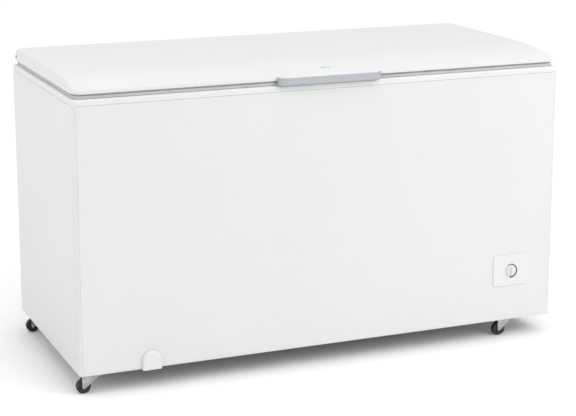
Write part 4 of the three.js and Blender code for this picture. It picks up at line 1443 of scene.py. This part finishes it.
def makeGlandAndCap():
    low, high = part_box("cord_gland")
    centre = (low + high) / 2
    profile = [
        (3.5, -4), (6.3, -4), (6.5, -3.8), (6.5, 0.3), (10.4, 0.3), (11, 0.9), (11, 3), (10.2, 4),
        (7.4, 4.6), (7, 6), (7, 7.4), (6.3, 8), (6.6, 9), (6.4, 10.6), (5.6, 11.8), (4.2, 12),
        (3.5, 11.6), (3.5, -4),
    ]
    bm = bmesh.new()
    spinProfile(bm, millimetres(profile), segments=36)
    turnTo(bm, "rear", (centre.x, cabinet["halfY"], centre.z))
    makePiece("lead_gland", bm, "cabinet", "wheel_rubber", "cord_gland", sharp=40)

    low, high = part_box("side_vent_cap")
    centre = (low + high) / 2
    profile = [(0, 0.3), (13.4, 0.3), (14, 0.8), (13.6, 1.5), (11, 2.8), (7, 3.7), (3, 4), (0, 4)]
    bm = bmesh.new()
    spinProfile(bm, millimetres(profile), segments=40)
    turnTo(bm, "right", (cabinet["halfX"], centre.y, centre.z))
    makePiece("vent_button", bm, "cabinet", "grey_plastic", "side_vent_cap", sharp=40)


def makeCompressor():
    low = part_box("compressor")[0]
    # the shell's axis, measured from the corner of its box
    x, y = low.x + 104 * mm, low.y + 76 * mm
    profile = [
        (0, 14), (40, 14), (54, 17), (66, 25), (70, 33), (72, 60), (72.4, 78), (74, 80), (74.4, 84),
        (74, 88), (72.4, 90), (72, 112), (69, 134), (60, 152), (44, 165), (24, 173), (0, 175.5),
    ]
    bm = bmesh.new()
    spinProfile(bm, millimetres(profile), segments=64)
    feet = []
    for i, up in ((0.5, 0), (0, 0.5), (0, 4.5), (0.5, 5)):
        feet.append(addRectLoop(bm, (95 - i) * mm, (50 - i) * mm, (14 - i) * mm, up * mm))
    bridge(bm, feet)
    capLoop(bm, feet[0])
    capLoop(bm, feet[-1])
    spinProfile(bm, millimetres([(0, 4), (50, 4), (44, 20), (0, 20)]), segments=40)
    relay = addBlock(bm, (-104 * mm, -26 * mm, 50 * mm), (-66 * mm, 26 * mm, 112 * mm))
    roundEdges(bm, list({e for v in relay for e in v.link_edges}), 4 * mm, 3)
    turnTo(bm, "up", (x, y, low.z))
    makePiece("compressor_shell", bm, "cabinet", "black_paint", "compressor", sharp=35)


def dressFrame():
    # the frame's own solids that stay in view take the same finishes
    for row in frame["record"]["subparts"]:
        node = frame["nodes"][row["node"]]
        node.data.materials.clear()
        node.data.materials.append(finishes[row["material_slot"]])


stage = {"floor": 30, "tone": (0.93, 0.93, 0.93), "world": 0.9}


def makeStage():
    bm = bmesh.new()
    bmesh.ops.create_grid(bm, x_segments=4, y_segments=4, size=stage["floor"])
    mesh = bpy.data.meshes.new("floor")
    bm.to_mesh(mesh)
    bm.free()
    floor = bpy.data.objects.new("floor", mesh)
    bpy.context.scene.collection.objects.link(floor)
    material = newFinish("paleFloor", specular=0.2)
    paintTones(material, addNoise(material, 0.6), stage["tone"], tuple(t + 0.01 for t in stage["tone"]))
    setRoughness(material, addNoise(material, 3), 0.7, 0.8)
    mesh.materials.append(material)

    world = bpy.data.worlds.new("studio")
    bpy.context.scene.world = world
    world.use_nodes = True
    sky = world.node_tree.nodes["Background"]
    sky.inputs["Color"].default_value = (1, 1, 1, 1)
    sky.inputs["Strength"].default_value = stage["world"]
    bpy.context.scene.view_settings.view_transform = "Standard"


skyLight = {"aim": (-0.25, 0.75, -1.0), "spread": 70, "strength": 0.72}
softboxes = [
    # name, place, aim, width, height, watts
    ("frontBox", (1.7, -2.3, 2.3), (0.6, -0.3, 0.7), 1.6, 1.2, 20),
    ("leftBox", (-2.5, -0.6, 2.2), (-0.8, 0, 0.9), 1.0, 0.8, 10),
    ("backBox", (2.2, 4.6, 4.3), (0.1, -0.3, 0.93), 5.0, 2.4, 16),
    ("lowBox", (2.2, -3.4, 0.6), (0.6, -0.3, 0.2), 2.4, 0.8, 2),
]


def makeLights():
    sky = bpy.data.lights.new("skyLight", "SUN")
    sky.angle = math.radians(skyLight["spread"])
    sky.energy = skyLight["strength"]
    lamp = bpy.data.objects.new("skyLight", sky)
    lamp.rotation_euler = Vector(skyLight["aim"]).to_track_quat("-Z", "Y").to_euler()
    bpy.context.scene.collection.objects.link(lamp)
    for name, place, aim, width, height, watts in softboxes:
        light = bpy.data.lights.new(name, "AREA")
        light.shape = "RECTANGLE"
        light.size = width
        light.size_y = height
        light.energy = watts
        box = bpy.data.objects.new(name, light)
        box.location = place
        box.visible_camera = False
        box.rotation_euler = (Vector(aim) - Vector(place)).to_track_quat("-Z", "Y").to_euler()
        bpy.context.scene.collection.objects.link(box)


view = {
    "place": (-2.0053, -4.8522, 1.7448),
    "turn": 22.594,  # degrees from straight at the front, towards +X
    "tilt": 12.799,  # degrees down
    "lens": 102.86,
    "shiftY": -0.0694,
}


def makeCamera():
    camera = bpy.data.objects.new("camera", bpy.data.cameras.new("camera"))
    camera.data.lens = view["lens"]
    camera.data.sensor_width = 36
    camera.data.shift_y = view["shiftY"]
    camera.data.clip_end = 100
    camera.location = view["place"]
    camera.rotation_euler = (math.radians(90 - view["tilt"]), 0, math.radians(-view["turn"]))
    bpy.context.scene.collection.objects.link(camera)
    bpy.context.scene.camera = camera


makeCamera()
makeStage()
makeLights()
dressFrame()
print("stage, light and camera")
makeOuterSheets()
makeRimRails()
makeWell()
print("cabinet")
makeLidSkin()
makeEndPlugs()
makeLidFoam()
makeLidTray()
makeSeal()
makeHandle()
makeHandleTrim()
makeEmblem()
print("lid and handle")
makeControlPanel()
makeScale()
makeKnob()
makeDrainCover()
makeDrainPlug()
print("dial and drain")
makeCasters()
makeHinges()
makeGrille()
makeFasteners()
makeGlandAndCap()
makeCompressor()
print("casters, hinges and rear")

evenShading()
